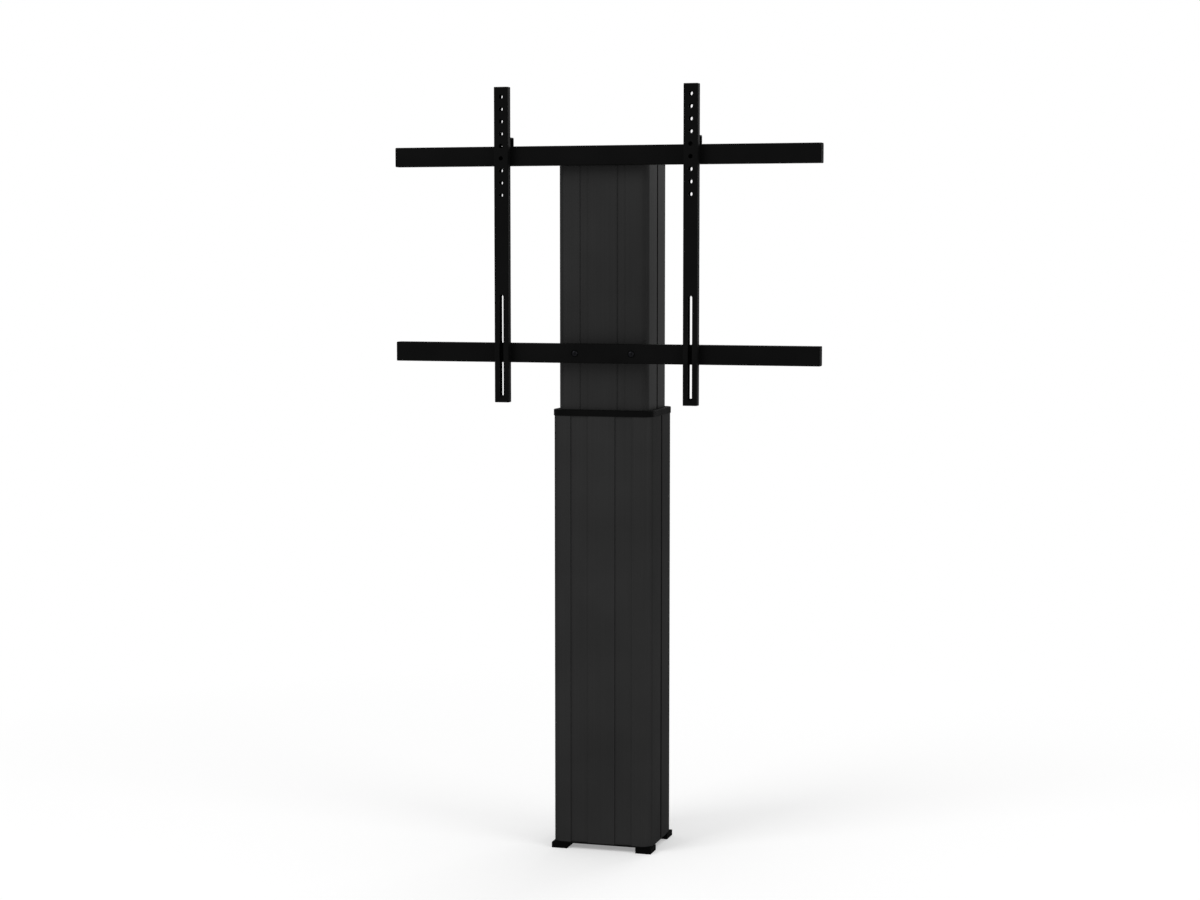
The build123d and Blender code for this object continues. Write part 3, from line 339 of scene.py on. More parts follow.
column_low, column_high, column_middle = box_of("outer_column")
column_width = column_high.x - column_low.x
column_depth = column_high.y - column_low.y
column_wall = 4 * mm
outer_outline = rounded_loop(column_corners(
    column_width, column_depth, corner=20 * mm, bands=(28.5 * mm, 66.5 * mm),
    recess=2.5 * mm, groove=8 * mm, groove_recess=2 * mm, soft=0.35 * mm))
outer_cavity = rounded_loop(column_corners(
    column_width - 2 * column_wall, column_depth - 2 * column_wall, corner=30 * mm,
    bands=(26.5 * mm, 68.5 * mm), recess=2.5 * mm, groove=12 * mm, groove_recess=2 * mm, soft=0))
outer_column = as_piece(extruded([outer_outline, outer_cavity], column_low.z, column_high.z,
                                 column_middle), "column_outer_extrusion")

inlet_middle = box_of("power_inlet")[2]
inlet_width, inlet_height, inlet_corner = 28.1 * mm, 20.1 * mm, 3 * mm
inlet_hole = extruded([rounded_loop(box_corners(inlet_width, inlet_height, inlet_corner))],
                      -10 * mm, 30 * mm)
inlet_place = Matrix.Translation((inlet_middle.x, column_high.y, inlet_middle.z))
inlet_hole.transform(inlet_place @ Matrix.Rotation(pi / 2, 4, "X"))
inlet_tool = as_piece(inlet_hole, "inlet_tool")
bored(outer_column, inlet_tool, "power inlet")
# the outer skin is a touch lighter from the front, and the painted shade in its grooves less dark
column_black = black_anodised("black anodised extrusion", colour="#2a2a2a", worn_and_highlit="#4a4a4b",
                              grazing="#afafaf", groove_painted_shade="#1c1c1c")
applied(eased(outer_column, 0.3 * mm, 1), column_black)
bpy.data.objects.remove(inlet_tool)
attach(outer_column, "base")
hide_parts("outer_column")


# Inner column: the same kind of extrusion, 192 by 152 mm, that slides in the outer one on
# acetal pads. Its bands are narrower, and its side shows a little lighter in the photograph.
inner_low, inner_high, inner_middle = box_of("inner_column")
inner_width = inner_high.x - inner_low.x
inner_depth = inner_high.y - inner_low.y
inner_wall = 3.5 * mm
inner_outline = rounded_loop(column_corners(
    inner_width, inner_depth, corner=16 * mm, bands=(30.5 * mm, 49 * mm),
    recess=2 * mm, groove=6 * mm, groove_recess=2 * mm, soft=0.35 * mm))
inner_cavity = rounded_loop(column_corners(
    inner_width - 2 * inner_wall, inner_depth - 2 * inner_wall, corner=12.5 * mm,
    bands=(28.75 * mm, 50.75 * mm), recess=2 * mm, groove=9.5 * mm, groove_recess=2 * mm, soft=0))
inner_column = as_piece(extruded([inner_outline, inner_cavity], inner_low.z, inner_high.z,
                                 inner_middle), "column_inner_extrusion")
# the inner skin's side grooves get a much darker painted shade
inner_black = black_anodised("black anodised inner extrusion", colour="#282828", worn_and_highlit="#4a4a4b",
                             grazing="#d2d2d2", groove_painted_shade="#060606")
applied(eased(inner_column, 0.3 * mm, 1), inner_black)
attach(inner_column, "lift")
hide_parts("inner_column")


# Crossbars: closed steel tube, 900 by 40 by 25 mm, powder coated black. The lower one is
# drilled through for its two bolts, the upper one only from behind, for threaded inserts.
def powder_coated(name, colour, worn_and_highlit):
    # baked powder paint: near-black satin with fine orange peel, thinner on edges, and lighter
    # there as wear and a painted highlight
    peel_size, speck_size, cloud_size = 1.6 * mm, 0.8 * mm, 90 * mm
    material, tree, shader, place = finish_of(name)
    peel = add(tree, "ShaderNodeTexNoise", {
        "Vector": place, "Scale": 1 / peel_size, "Detail": 3, "Roughness": 0.55})
    speck = add(tree, "ShaderNodeTexVoronoi", {"Vector": place, "Scale": 1 / speck_size})
    cloud = add(tree, "ShaderNodeTexNoise", {
        "Vector": place, "Scale": 1 / cloud_size, "Detail": 2})
    body = toned(tree, colour, cloud, (0.3, 0.7), (0.85, 1.15))
    skin = edge_wear_and_highlight(tree, body, worn_and_highlit, peel, reach=0.7 * mm, sharpness=0.3)
    dull = add(tree, "ShaderNodeMapRange", {
        "Value": peel, "From Min": 0.3, "From Max": 0.7, "To Min": 0.52, "To Max": 0.66})
    specks = add(tree, "ShaderNodeBump", {
        "Height": speck.outputs["Distance"], "Distance": 0.02 * mm, "Strength": 0.4})
    skin_relief = add(tree, "ShaderNodeBump", {
        "Height": peel, "Distance": 0.05 * mm, "Strength": 0.6, "Normal": specks})
    fed(tree, shader, {"Base Color": skin, "Roughness": dull, "Normal": skin_relief,
                       "Specular IOR Level": 0.02})
    return material


bar_paint = powder_coated("black powder coat", colour="#0a0a0a", worn_and_highlit="#1c1c1c")
bar_height, bar_depth, bar_wall = 40 * mm, 25 * mm, 2.5 * mm
bar_corner, bar_inner_corner = 3 * mm, 1.75 * mm
bolt_spacing, bolt_bore, insert_bore = 120 * mm, 9 * mm, 11 * mm
insert_seat, drill_overrun = 4 * mm, 5 * mm
for level_name in ("upper", "lower"):
    bar_low, bar_high, bar_middle = box_of(level_name + "_bar")
    tube = extruded([rounded_loop(box_corners(bar_height, bar_depth, bar_corner)),
                     rounded_loop(box_corners(bar_height - 2 * bar_wall,
                                              bar_depth - 2 * bar_wall, bar_inner_corner))],
                    bar_low.x, bar_high.x)
    # the prism's own X, Y and Z become the bar's -Z, Y and X
    bar_place = Matrix.Translation((0, bar_middle.y, bar_middle.z))
    tube.transform(bar_place @ Matrix.Rotation(pi / 2, 4, "Y"))
    bar = as_piece(tube, level_name + "_crossbar")
    bore, drill_from = ((bolt_bore, bar_low.y - drill_overrun) if level_name == "lower"
                        else (insert_bore, bar_high.y - insert_seat))
    drill_to = bar_high.y + drill_overrun
    drills = bmesh.new()
    for side in (-1, 1):
        hole = Matrix.Translation((side * bolt_spacing / 2, (drill_from + drill_to) / 2,
                                   bar_middle.z))
        bmesh.ops.create_cone(drills, cap_ends=True, segments=32, radius1=bore / 2,
                              radius2=bore / 2, depth=drill_to - drill_from,
                              matrix=hole @ Matrix.Rotation(pi / 2, 4, "X"))
    drill = as_piece(drills, "drill")
    bored(bar, drill, "bolt holes")
    applied(eased(bar, 0.3 * mm, 1), bar_paint)
    bpy.data.objects.remove(drill)
    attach(bar, "lift")
    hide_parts(level_name + "_bar")


# Arms: closed steel tube, 30 by 20 mm and 645 mm long, powder coated black. Nine 9 mm holes at
# 25 mm pitch run down from the top and one long slot up from the bottom, punched front and back.
def tree_of(name, sizes):
    # a Geometry Nodes tree with its sizes as named inputs: the tree, its inputs, its output
    tree = bpy.data.node_groups.new(name, "GeometryNodeTree")
    tree.interface.new_socket("Geometry", in_out="INPUT", socket_type="NodeSocketGeometry")
    tree.interface.new_socket("Geometry", in_out="OUTPUT", socket_type="NodeSocketGeometry")
    for size_name, kind in sizes.items():
        tree.interface.new_socket(size_name, in_out="INPUT", socket_type="NodeSocket" + kind)
    return tree, tree.nodes.new("NodeGroupInput").outputs, tree.nodes.new("NodeGroupOutput")


def with_nodes(piece, tree, values):
    # the tree as a modifier, each input set by its socket's identifier
    modifier = piece.modifiers.new(tree.name, "NODES")
    modifier.node_group = tree
    for socket in tree.interface.items_tree:
        if socket.in_out == "INPUT" and socket.name in values:
            modifier[socket.identifier] = values[socket.name]


across_arm = (pi / 2, 0, 0)
punching, blank, punched = tree_of("punched arm", {
    "Top of first hole": "Vector", "Pitch": "Float", "Holes": "Int", "Diameter": "Float",
    "Depth": "Float", "Slot middle": "Vector", "Slot length": "Float", "Paint": "Material"})
pitch_down = add(punching, "ShaderNodeMath", {0: blank["Pitch"], 1: -1.0}, operation="MULTIPLY")
step_down = add(punching, "ShaderNodeCombineXYZ", {"Z": pitch_down})
row = add(punching, "GeometryNodeMeshLine", {
    "Count": blank["Holes"], "Start Location": blank["Top of first hole"],
    "Offset": step_down}, mode="OFFSET")
half_bore = add(punching, "ShaderNodeMath", {0: blank["Diameter"], 1: 0.5}, operation="MULTIPLY")
punch = add(punching, "GeometryNodeMeshCylinder", {
    "Vertices": 36, "Radius": half_bore, "Depth": blank["Depth"]})
holes = add(punching, "GeometryNodeInstanceOnPoints", {
    "Points": row, "Instance": punch, "Rotation": across_arm})
straight = add(punching, "ShaderNodeMath", {0: blank["Slot length"], 1: blank["Diameter"]},
               operation="SUBTRACT")
half_straight = add(punching, "ShaderNodeMath", {0: straight, 1: 0.5}, operation="MULTIPLY")
slot_ends = add(punching, "GeometryNodeJoinGeometry")
for sense in (1.0, -1.0):
    height = add(punching, "ShaderNodeMath", {0: half_straight, 1: sense}, operation="MULTIPLY")
    end_place = add(punching, "ShaderNodeCombineXYZ", {"Z": height})
    slot_end = add(punching, "GeometryNodeTransform", {
        "Geometry": punch, "Translation": end_place, "Rotation": across_arm})
    fed(punching, slot_ends, {"Geometry": slot_end})
slot_whole = add(punching, "GeometryNodeConvexHull", {"Geometry": slot_ends})
slot_placed = add(punching, "GeometryNodeTransform", {
    "Geometry": slot_whole, "Translation": blank["Slot middle"]})
real_holes = add(punching, "GeometryNodeRealizeInstances", {"Geometry": holes})
cut_arm = add(punching, "GeometryNodeMeshBoolean", {
    "Mesh 1": blank["Geometry"], "Mesh 2": real_holes}, operation="DIFFERENCE")
fed(punching, cut_arm, {"Mesh 2": slot_placed})
arm_done = add(punching, "GeometryNodeRealizeInstances", {"Geometry": cut_arm})
painted = add(punching, "GeometryNodeSetMaterial", {
    "Geometry": arm_done, "Material": blank["Paint"]})
fed(punching, punched, {"Geometry": painted})

arm_width, arm_depth, arm_wall = 30 * mm, 20 * mm, 2 * mm
arm_corner, arm_inner_corner = 2.5 * mm, 1.5 * mm
first_hole_down, slot_middle_up = 18 * mm, 114 * mm
arm_outline = rounded_loop(box_corners(arm_width, arm_depth, arm_corner))
arm_cavity = rounded_loop(box_corners(arm_width - 2 * arm_wall, arm_depth - 2 * arm_wall,
                                      arm_inner_corner))
for side in ("left", "right"):
    arm_low, arm_high, arm_middle = box_of(side + "_arm")
    arm = as_piece(extruded([arm_outline, arm_cavity], arm_low.z, arm_high.z, arm_middle),
                   side + "_arm_tube")
    with_nodes(arm, punching, {
        "Top of first hole": (arm_middle.x, arm_middle.y, arm_high.z - first_hole_down),
        "Pitch": 25 * mm, "Holes": 9, "Diameter": 9 * mm, "Depth": 40 * mm,
        "Slot middle": (arm_middle.x, arm_middle.y, arm_low.z + slot_middle_up),
        "Slot length": 212 * mm, "Paint": bar_paint})
    applied(eased(arm, 0.35 * mm), bar_paint)
    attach(arm, side + "_arm_body")
    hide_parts(side + "_arm")


# Collar, plugs, feet and control box: injection-moulded black plastic. The collar caps the
# outer column and closes the gap round the inner one; plugs close the bars' and arms' ends.
def moulded(name, colour, grain_size, dullness, gloss=0.01):
    # spark-eroded mould grain: matt, with a fine pitted relief and no sharp highlights
    cloud_size = 30 * mm
    material, tree, shader, place = finish_of(name)
    pits = add(tree, "ShaderNodeTexVoronoi", {"Vector": place, "Scale": 1 / grain_size})
    cloud = add(tree, "ShaderNodeTexNoise", {
        "Vector": place, "Scale": 1 / cloud_size, "Detail": 3})
    dull = add(tree, "ShaderNodeMapRange", {
        "Value": cloud, "From Min": 0.3, "From Max": 0.7,
        "To Min": dullness - 0.05, "To Max": dullness + 0.05})
    relief = add(tree, "ShaderNodeBump", {
        "Height": pits.outputs["Distance"], "Distance": 0.04 * mm, "Strength": 0.5})
    fed(tree, shader, {
        "Base Color": toned(tree, colour, cloud, (0.3, 0.7), (0.88, 1.12)),
        "Roughness": dull, "Normal": relief, "Specular IOR Level": gloss})
    return material


def copy_of(node_name, piece_name):
    # the CAD node's shape as one clean mesh of flat faces, ready to have its edges eased
    weld_distance, flat_angle = 0.005 * mm, radians(0.5)
    shape = bmesh.new()
    shape.from_mesh(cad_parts[node_name].data)
    bmesh.ops.remove_doubles(shape, verts=shape.verts, dist=weld_distance)
    bmesh.ops.dissolve_limit(shape, angle_limit=flat_angle, verts=shape.verts, edges=shape.edges)
    return as_piece(shape, piece_name)


def dressed(ending, *rows):
    # CAD shapes with eased edges, each row a node, its body, the edge's width, material, slot
    for node_name, body, width, material, slot in rows:
        piece = applied(eased(copy_of(node_name, node_name + ending), width), material)
        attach(piece, body)
        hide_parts(node_name)


# the trim is matt, the feet flatter and darker still, the box a shade lighter and smoother
black_moulding = moulded("grained black moulding", "#0b0b0b", 0.5 * mm, 0.62)
black_rubber = moulded("black foot rubber", "#070707", 0.9 * mm, 0.8)
box_moulding = moulded("grained black box moulding", "#141415", 0.6 * mm, 0.5)
dressed("_moulding",
        ("column_collar", "base", 0.4 * mm, black_moulding, "collar_plastic"),
        ("upper_bar_plugs", "lift", 0.4 * mm, black_moulding, "plug_plastic"),
        ("lower_bar_plugs", "lift", 0.4 * mm, black_moulding, "plug_plastic"),
        ("left_arm_plugs", "left_arm_body", 0.3 * mm, black_moulding, "plug_plastic"),
        ("right_arm_plugs", "right_arm_body", 0.3 * mm, black_moulding, "plug_plastic"),
        ("feet", "base", 0.5 * mm, black_rubber, "foot_rubber"),
        ("control_box", "base", 0.4 * mm, box_moulding, "box_plastic"),
        ("control_box_lid", "base", 0.4 * mm, box_moulding, "box_plastic"),
        ("power_inlet", "base", 0.3 * mm, box_moulding, "box_plastic"))


# Head casting, base plate, spacers and hooks: a die-cast head, laser-cut plate, drilled flat
# bar and folded strip. Head, plate and hooks are powder coated, the spacers anodised black.
dressed("_formed",
        ("head_casting", "lift", 0.6 * mm, bar_paint, "head_painted"),
        ("base_plate", "base", 0.3 * mm, bar_paint, "plate_painted"),
        ("upper_bar_spacer", "lift", 0.4 * mm, inner_black, "spacer_aluminium"),
        ("lower_bar_spacer", "lift", 0.4 * mm, inner_black, "spacer_aluminium"),
        ("left_arm_hook", "left_arm_body", 0.3 * mm, bar_paint, "arm_painted"),
        ("right_arm_hook", "right_arm_body", 0.3 * mm, bar_paint, "arm_painted"))


# Weld beads: runs of overlapping ripples that join each hook to its arm, one up each side and
# one along its lower edge, laid by hand and powder coated over, so they show as soft ridges.
bead_tree, bead_in, bead_out = tree_of("weld bead", {
    "Start": "Vector", "End": "Vector", "Ripples": "Int", "Ripple size": "Vector",
    "Paint": "Material"})
run = add(bead_tree, "GeometryNodeCurvePrimitiveLine", {
    "Start": bead_in["Start"], "End": bead_in["End"]})
beads = add(bead_tree, "GeometryNodeResampleCurve", {
    "Curve": run, "Count": bead_in["Ripples"]})
ripple = add(bead_tree, "GeometryNodeMeshIcoSphere", {"Radius": 1.0, "Subdivisions": 3})
# a hand never lays two ripples alike: inputs 2 and 3 are the smallest and the largest size
uneven = add(bead_tree, "FunctionNodeRandomValue", {2: 0.85, 3: 1.12, "Seed": 11},
             data_type="FLOAT")
swelling = add(bead_tree, "ShaderNodeVectorMath", {
    0: bead_in["Ripple size"], "Scale": uneven.outputs[1]}, operation="SCALE")
ripples = add(bead_tree, "GeometryNodeInstanceOnPoints", {
    "Points": beads, "Instance": ripple, "Scale": swelling})
whole_run = add(bead_tree, "GeometryNodeRealizeInstances", {"Geometry": ripples})
bead_paint = add(bead_tree, "GeometryNodeSetMaterial", {
    "Geometry": whole_run, "Material": bead_in["Paint"]})
fed(bead_tree, bead_out, {"Geometry": bead_paint})

hook_above_bar, side_start, side_stop, side_sink = 2.5 * mm, 1.5 * mm, 3 * mm, 0.3 * mm
below_out, below_drop, below_inset = 1.1 * mm, 0.3 * mm, 1.2 * mm
side_ripples, side_ripple = 9, Vector((1.5, 1.1, 1.3)) * mm
below_ripples, below_ripple = 16, Vector((1.3, 1.3, 1.4)) * mm
for side in ("left", "right"):
    hook_low, hook_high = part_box(side + "_arm_hook")
    edge_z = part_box("upper_bar")[1].z + hook_above_bar
    side_y, side_low = hook_low.y + side_sink, edge_z + side_start
    side_high = hook_high.z - side_stop
    below_y, below_z = hook_low.y + below_out, edge_z - below_drop
    for edge, start, end, ripple_count, ripple_size in (
            ("left", (hook_low.x, side_y, side_low), (hook_low.x, side_y, side_high),
             side_ripples, side_ripple),
            ("right", (hook_high.x, side_y, side_low), (hook_high.x, side_y, side_high),
             side_ripples, side_ripple),
            ("below", (hook_low.x + below_inset, below_y, below_z),
             (hook_high.x - below_inset, below_y, below_z), below_ripples, below_ripple)):
        bead = as_piece(bmesh.new(), side + "_arm_weld_" + edge)
        with_nodes(bead, bead_tree, {
            "Start": start, "End": end, "Ripples": ripple_count,
            "Ripple size": ripple_size, "Paint": bar_paint})
        applied(bead, bar_paint)
        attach(bead, side + "_arm_body")


# Screws: turned blanks with a hexagon socket broached into the head. The countersunk ones are
# zinc plated, and the two button heads on the lower crossbar are black oxide.
def metal(name, colour, dullness, ring_size, tint="#ffffff"):
    # bare or plated metal: bright, with the fine rings or streaks that turning leaves
    ring_run, smear_size = 40 * mm, 6 * mm
    material, tree, shader, place = finish_of(name)
    rings = add(tree, "ShaderNodeMapping", {
        "Vector": place, "Scale": (1 / ring_run, 1 / ring_run, 1 / ring_size)})
    streak = add(tree, "ShaderNodeTexNoise", {"Vector": rings, "Scale": 1, "Detail": 3})
    smear = add(tree, "ShaderNodeTexNoise", {
        "Vector": place, "Scale": 1 / smear_size, "Detail": 3})
    dull = add(tree, "ShaderNodeMapRange", {
        "Value": smear, "From Min": 0.3, "From Max": 0.7,
        "To Min": dullness - 0.06, "To Max": dullness + 0.08})
    relief = add(tree, "ShaderNodeBump", {
        "Height": streak, "Distance": 0.01 * mm, "Strength": 0.5})
    fed(tree, shader, {
        "Base Color": toned(tree, colour, smear, (0.3, 0.7), (0.94, 1.04)), "Metallic": 1,
        "Specular Tint": linear(tint), "Roughness": dull, "Normal": relief})
    return material


def turned(profile, name, segments=40):
    # a solid of revolution about Z from (radius, height) points that start and end on the axis
    shape = bmesh.new()
    rings = []
    for radius, z in profile:
        if radius == 0:
            rings.append([shape.verts.new((0, 0, z))])
            continue
        rings.append([shape.verts.new((radius * cos(2 * pi * count / segments),
                                       radius * sin(2 * pi * count / segments), z))
                      for count in range(segments)])
    for below, above in zip(rings, rings[1:]):
        for count in range(segments):
            after = (count + 1) % segments
            corners = [below[count % len(below)], below[after % len(below)],
                       above[after % len(above)], above[count % len(above)]]
            shape.faces.new([vert for index, vert in enumerate(corners)
                             if vert not in corners[:index]])
    bmesh.ops.recalc_face_normals(shape, faces=shape.faces)
    piece = as_piece(shape, name)
    piece.data.set_sharp_from_angle(angle=radians(35))
    return piece


screw_tree, screw_in, screw_out = tree_of("socket screws in rows", {
    "Socket width": "Float", "Socket depth": "Float", "Across": "Float", "Up": "Float",
    "Columns": "Int", "Rows": "Int", "Centre": "Vector", "Turn": "Vector", "Metal": "Material"})
# from a hexagon's width across its flats to the radius of its corners
hexagon_corner = 0.5774
socket_radius = add(screw_tree, "ShaderNodeMath", {
    0: screw_in["Socket width"], 1: hexagon_corner}, operation="MULTIPLY")
twice_deep = add(screw_tree, "ShaderNodeMath", {0: screw_in["Socket depth"], 1: 2.0},
                 operation="MULTIPLY")
broach = add(screw_tree, "GeometryNodeMeshCylinder", {
    "Vertices": 6, "Radius": socket_radius, "Depth": twice_deep})
blank_box = add(screw_tree, "GeometryNodeBoundBox", {"Geometry": screw_in["Geometry"]})
head_face = add(screw_tree, "ShaderNodeVectorMath", {
    0: blank_box.outputs["Min"], 1: (0.0, 0.0, 1.0)}, operation="MULTIPLY")
broach_there = add(screw_tree, "GeometryNodeTransform", {
    "Geometry": broach, "Translation": head_face})
one_screw = add(screw_tree, "GeometryNodeMeshBoolean", {
    "Mesh 1": screw_in["Geometry"], "Mesh 2": broach_there}, operation="DIFFERENCE")
spots = add(screw_tree, "GeometryNodeMeshGrid", {
    "Size X": screw_in["Across"], "Size Y": screw_in["Up"],
    "Vertices X": screw_in["Columns"], "Vertices Y": screw_in["Rows"]})
all_screws = add(screw_tree, "GeometryNodeInstanceOnPoints", {
    "Points": spots, "Instance": one_screw})
real_screws = add(screw_tree, "GeometryNodeRealizeInstances", {"Geometry": all_screws})
screws_there = add(screw_tree, "GeometryNodeTransform", {
    "Geometry": real_screws, "Translation": screw_in["Centre"], "Rotation": screw_in["Turn"]})
plated = add(screw_tree, "GeometryNodeSetMaterial", {
    "Geometry": screws_there, "Material": screw_in["Metal"]})
fed(screw_tree, screw_out, {"Geometry": plated})


def screw_blank(name, head, shank, length, cap=0):
    # one screw up from its head's face, in mm: countersunk, or with a cap head of that height
    tip = 0.5
    under_head = [(head, cap), (shank, cap)] if cap else [(shank, head - shank)]
    profile = [(0, 0), (head, 0)] + under_head + [
        (shank, length - tip), (shank - tip, length), (0, length)]
    return turned([(radius * mm, z * mm) for radius, z in profile], name, 32)


def screwed_in(blank, node_name, body, finish, socket, deep, across, up, centre, turn):
    # two columns of the screw, and two rows where they stand apart, in place of the CAD node
    with_nodes(blank, screw_tree, {
        "Socket width": socket * mm, "Socket depth": deep * mm, "Across": across * mm,
        "Up": up * mm, "Columns": 2, "Rows": 2 if up else 1, "Centre": centre, "Turn": turn,
        "Metal": finish})
    applied(eased(blank, 0.15 * mm, 1), finish)
    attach(blank, body)
    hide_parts(node_name)


# zinc is bright silver grey, and black oxide takes its light only as a faint rim on the domes
zinc = metal("zinc plated steel", "#b4b7ba", 0.34, 0.4 * mm)
black_oxide = metal("black oxide steel", "#161618", 0.22, 0.4 * mm, "#808080")
forward, backward = (-pi / 2, 0, 0), (pi / 2, 0, 0)
upward, downward = (0, 0, 0), (pi, 0, 0)
drill_gap, drill_past = 0.08, 1
# depth of a socket: a share of a small countersunk head's radius, or in mm
socket_share, socket_depth, button_socket, button_socket_depth = 0.45, 2.2, 5, 2.9
# the extrusion above gets its countersinks here, and the other pieces hold theirs already
through_column = ("spacer_screws_lower", "bracket_screws", "head_screws_rear")
# piece, node, body, head and shank radius, length, socket, spacing across and up, turn, in mm
for name, node_name, body, head, shank, length, socket, across, up, turn in (
        ("spacer_screws_upper", "spacer_screws", "lift", 6, 3, 18, 4, 44, 20, forward),
        ("spacer_screws_lower", "spacer_screws", "lift", 6, 3, 18, 4, 44, 20, forward),
        ("bracket_screws", "cross_bracket_screws", "lift", 6, 3, 10, 4, 44, 20, backward),
        ("head_screws_rear", "head_screws", "lift", 4.5, 2.5, 10, 3, 44, 0, backward),
        ("inlet_screws", "power_inlet_screws", "base", 2.75, 1.5, 8, 2, 40, 0, backward)):
    group_low, group_high, middle = box_of(node_name)
    if name == "spacer_screws_upper":
        middle.z = group_high.z - (up / 2 + head) * mm
    if name == "spacer_screws_lower":
        middle.z = group_low.z + (up / 2 + head) * mm
    middle.y = group_low.y if turn == forward else group_high.y
    cone = head - shank
    if name in through_column:
        drills = bmesh.new()
        for sx in (-1, 1):
            for sz in (-1, 1) if up else (0,):
                spot = Matrix.Translation((middle.x + sx * across / 2 * mm, middle.y,
                                           middle.z + sz * up / 2 * mm))
                spot = spot @ Matrix.Rotation(turn[0], 4, "X")
                for low_z, high_z, low_r, high_r in (
                        (-drill_past, cone, head + drill_past, shank),
                        (cone - drill_past, length + drill_past, shank, shank)):
                    bmesh.ops.create_cone(
                        drills, cap_ends=True, segments=32, radius1=(low_r + drill_gap) * mm,
                        radius2=(high_r + drill_gap) * mm, depth=(high_z - low_z) * mm,
                        matrix=spot @ Matrix.Translation((0, 0, (low_z + high_z) / 2 * mm)))
        bored(inner_column, as_piece(drills, name + "_drill"), name).use_self = True
    screwed_in(screw_blank(name, head, shank, length), node_name, body, zinc,
               socket, socket_share * head, across, up, tuple(middle), turn)

drills = [countersink.object for countersink in inner_column.modifiers]
applied(inner_column, inner_black)
inner_column.data.set_sharp_from_angle(angle=radians(40))
inner_column.modifiers.new("flat faces", "WEIGHTED_NORMAL").keep_sharp = True
applied(inner_column, inner_black)
for drill in drills:
    bpy.data.objects.remove(drill)

# node, head radius, height of a cap head (0 when countersunk), shank radius, socket, turn
for node_name, head, cap, shank, socket, turn in (
        ("base_corner_screws", 4.5, 0, 2.5, 3, upward),
        ("gear_case_screws", 4.25, 5, 2.5, 4, downward)):
    group_low, group_high, middle = box_of(node_name)
    across, up, length = (group_high - group_low) / mm
    middle.z = group_low.z if turn == upward else group_high.z
    screwed_in(screw_blank(node_name + "_socketed", head, shank, length, cap), node_name, "base",
               zinc, socket, socket_depth, across - 2 * head, up - 2 * head,
               tuple(middle), turn)

# the two button heads that show: a dome from its socket's rim to the flat underside
button_radius, button_height, rim_angle, dome_step = 7, 4.4, 24, 11
bolt_radius, bolt_length, bolt_tip, bolt_taper = 4, 37, 0.8, 1
dome = [(button_radius * sin(radians(rise)), button_height - button_height * cos(radians(rise)))
        for rise in range(rim_angle, 90, dome_step)]
bolt_end = button_height + bolt_length
bolt_profile = [(0, dome[0][1])] + dome + [
    (button_radius, button_height), (bolt_radius, button_height),
    (bolt_radius, bolt_end - bolt_taper),
    (bolt_radius - bolt_tip, bolt_end), (0, bolt_end)]
bar_bolts = turned([(radius * mm, z * mm) for radius, z in bolt_profile],
                   "crossbar_button_bolts")
bolt_low, _, bolt_middle = box_of("lower_bar_bolts")
screwed_in(bar_bolts, "lower_bar_bolts", "lift", black_oxide, button_socket,
           button_socket_depth, bolt_spacing / mm, 0,
           (bolt_middle.x, bolt_low.y, bolt_middle.z), forward)


# Levelling and lock screws: zinc plated M6 and M5 threads. The levelling screw stands on the
# crossbar and carries the arm, with a lock nut on the hook; the lock screw has a knurled head.
def shares_of_a_turn(tree, count):
    # a turn about Z for each of so many instances, spread evenly round the circle
    number = add(tree, "GeometryNodeInputIndex")
    share = add(tree, "ShaderNodeMath", {0: number, 1: count}, operation="DIVIDE")
    turn = add(tree, "ShaderNodeMath", {0: share, 1: 2 * pi}, operation="MULTIPLY")
    return add(tree, "ShaderNodeCombineXYZ", {"Z": turn})


thread_tree, thread_in, thread_out = tree_of("helical thread", {
    "Crest radius": "Float", "Ridge": "Float", "Turns": "Float", "Length": "Float",
    "Starts": "Int", "Steps per turn": "Int", "Corners": "Int", "Metal": "Material"})
ridge_line = add(thread_tree, "ShaderNodeMath", {
    0: thread_in["Crest radius"], 1: thread_in["Ridge"]}, operation="SUBTRACT")
helix = add(thread_tree, "GeometryNodeCurveSpiral", {
    "Resolution": thread_in["Steps per turn"], "Rotations": thread_in["Turns"],
    "Start Radius": ridge_line, "End Radius": ridge_line, "Height": thread_in["Length"]})
upright = add(thread_tree, "GeometryNodeSetCurveNormal", {"Curve": helix}, mode="Z_UP")
ridge_form = add(thread_tree, "GeometryNodeCurvePrimitiveCircle", {
    "Resolution": thread_in["Corners"], "Radius": thread_in["Ridge"]}, mode="RADIUS")
ridge = add(thread_tree, "GeometryNodeCurveToMesh", {
    "Curve": upright, "Profile Curve": ridge_form, "Fill Caps": True})
start_points = add(thread_tree, "GeometryNodePoints", {"Count": thread_in["Starts"]})
starts = add(thread_tree, "GeometryNodeInstanceOnPoints", {
    "Points": start_points, "Instance": ridge,
    "Rotation": shares_of_a_turn(thread_tree, thread_in["Starts"])})
thread_whole = add(thread_tree, "GeometryNodeRealizeInstances", {"Geometry": starts})
with_core = add(thread_tree, "GeometryNodeJoinGeometry", {"Geometry": thread_whole})
fed(thread_tree, with_core, {"Geometry": thread_in["Geometry"]})
threaded = add(thread_tree, "GeometryNodeSetMaterial", {
    "Geometry": with_core, "Material": thread_in["Metal"]})
fed(thread_tree, thread_out, {"Geometry": threaded})

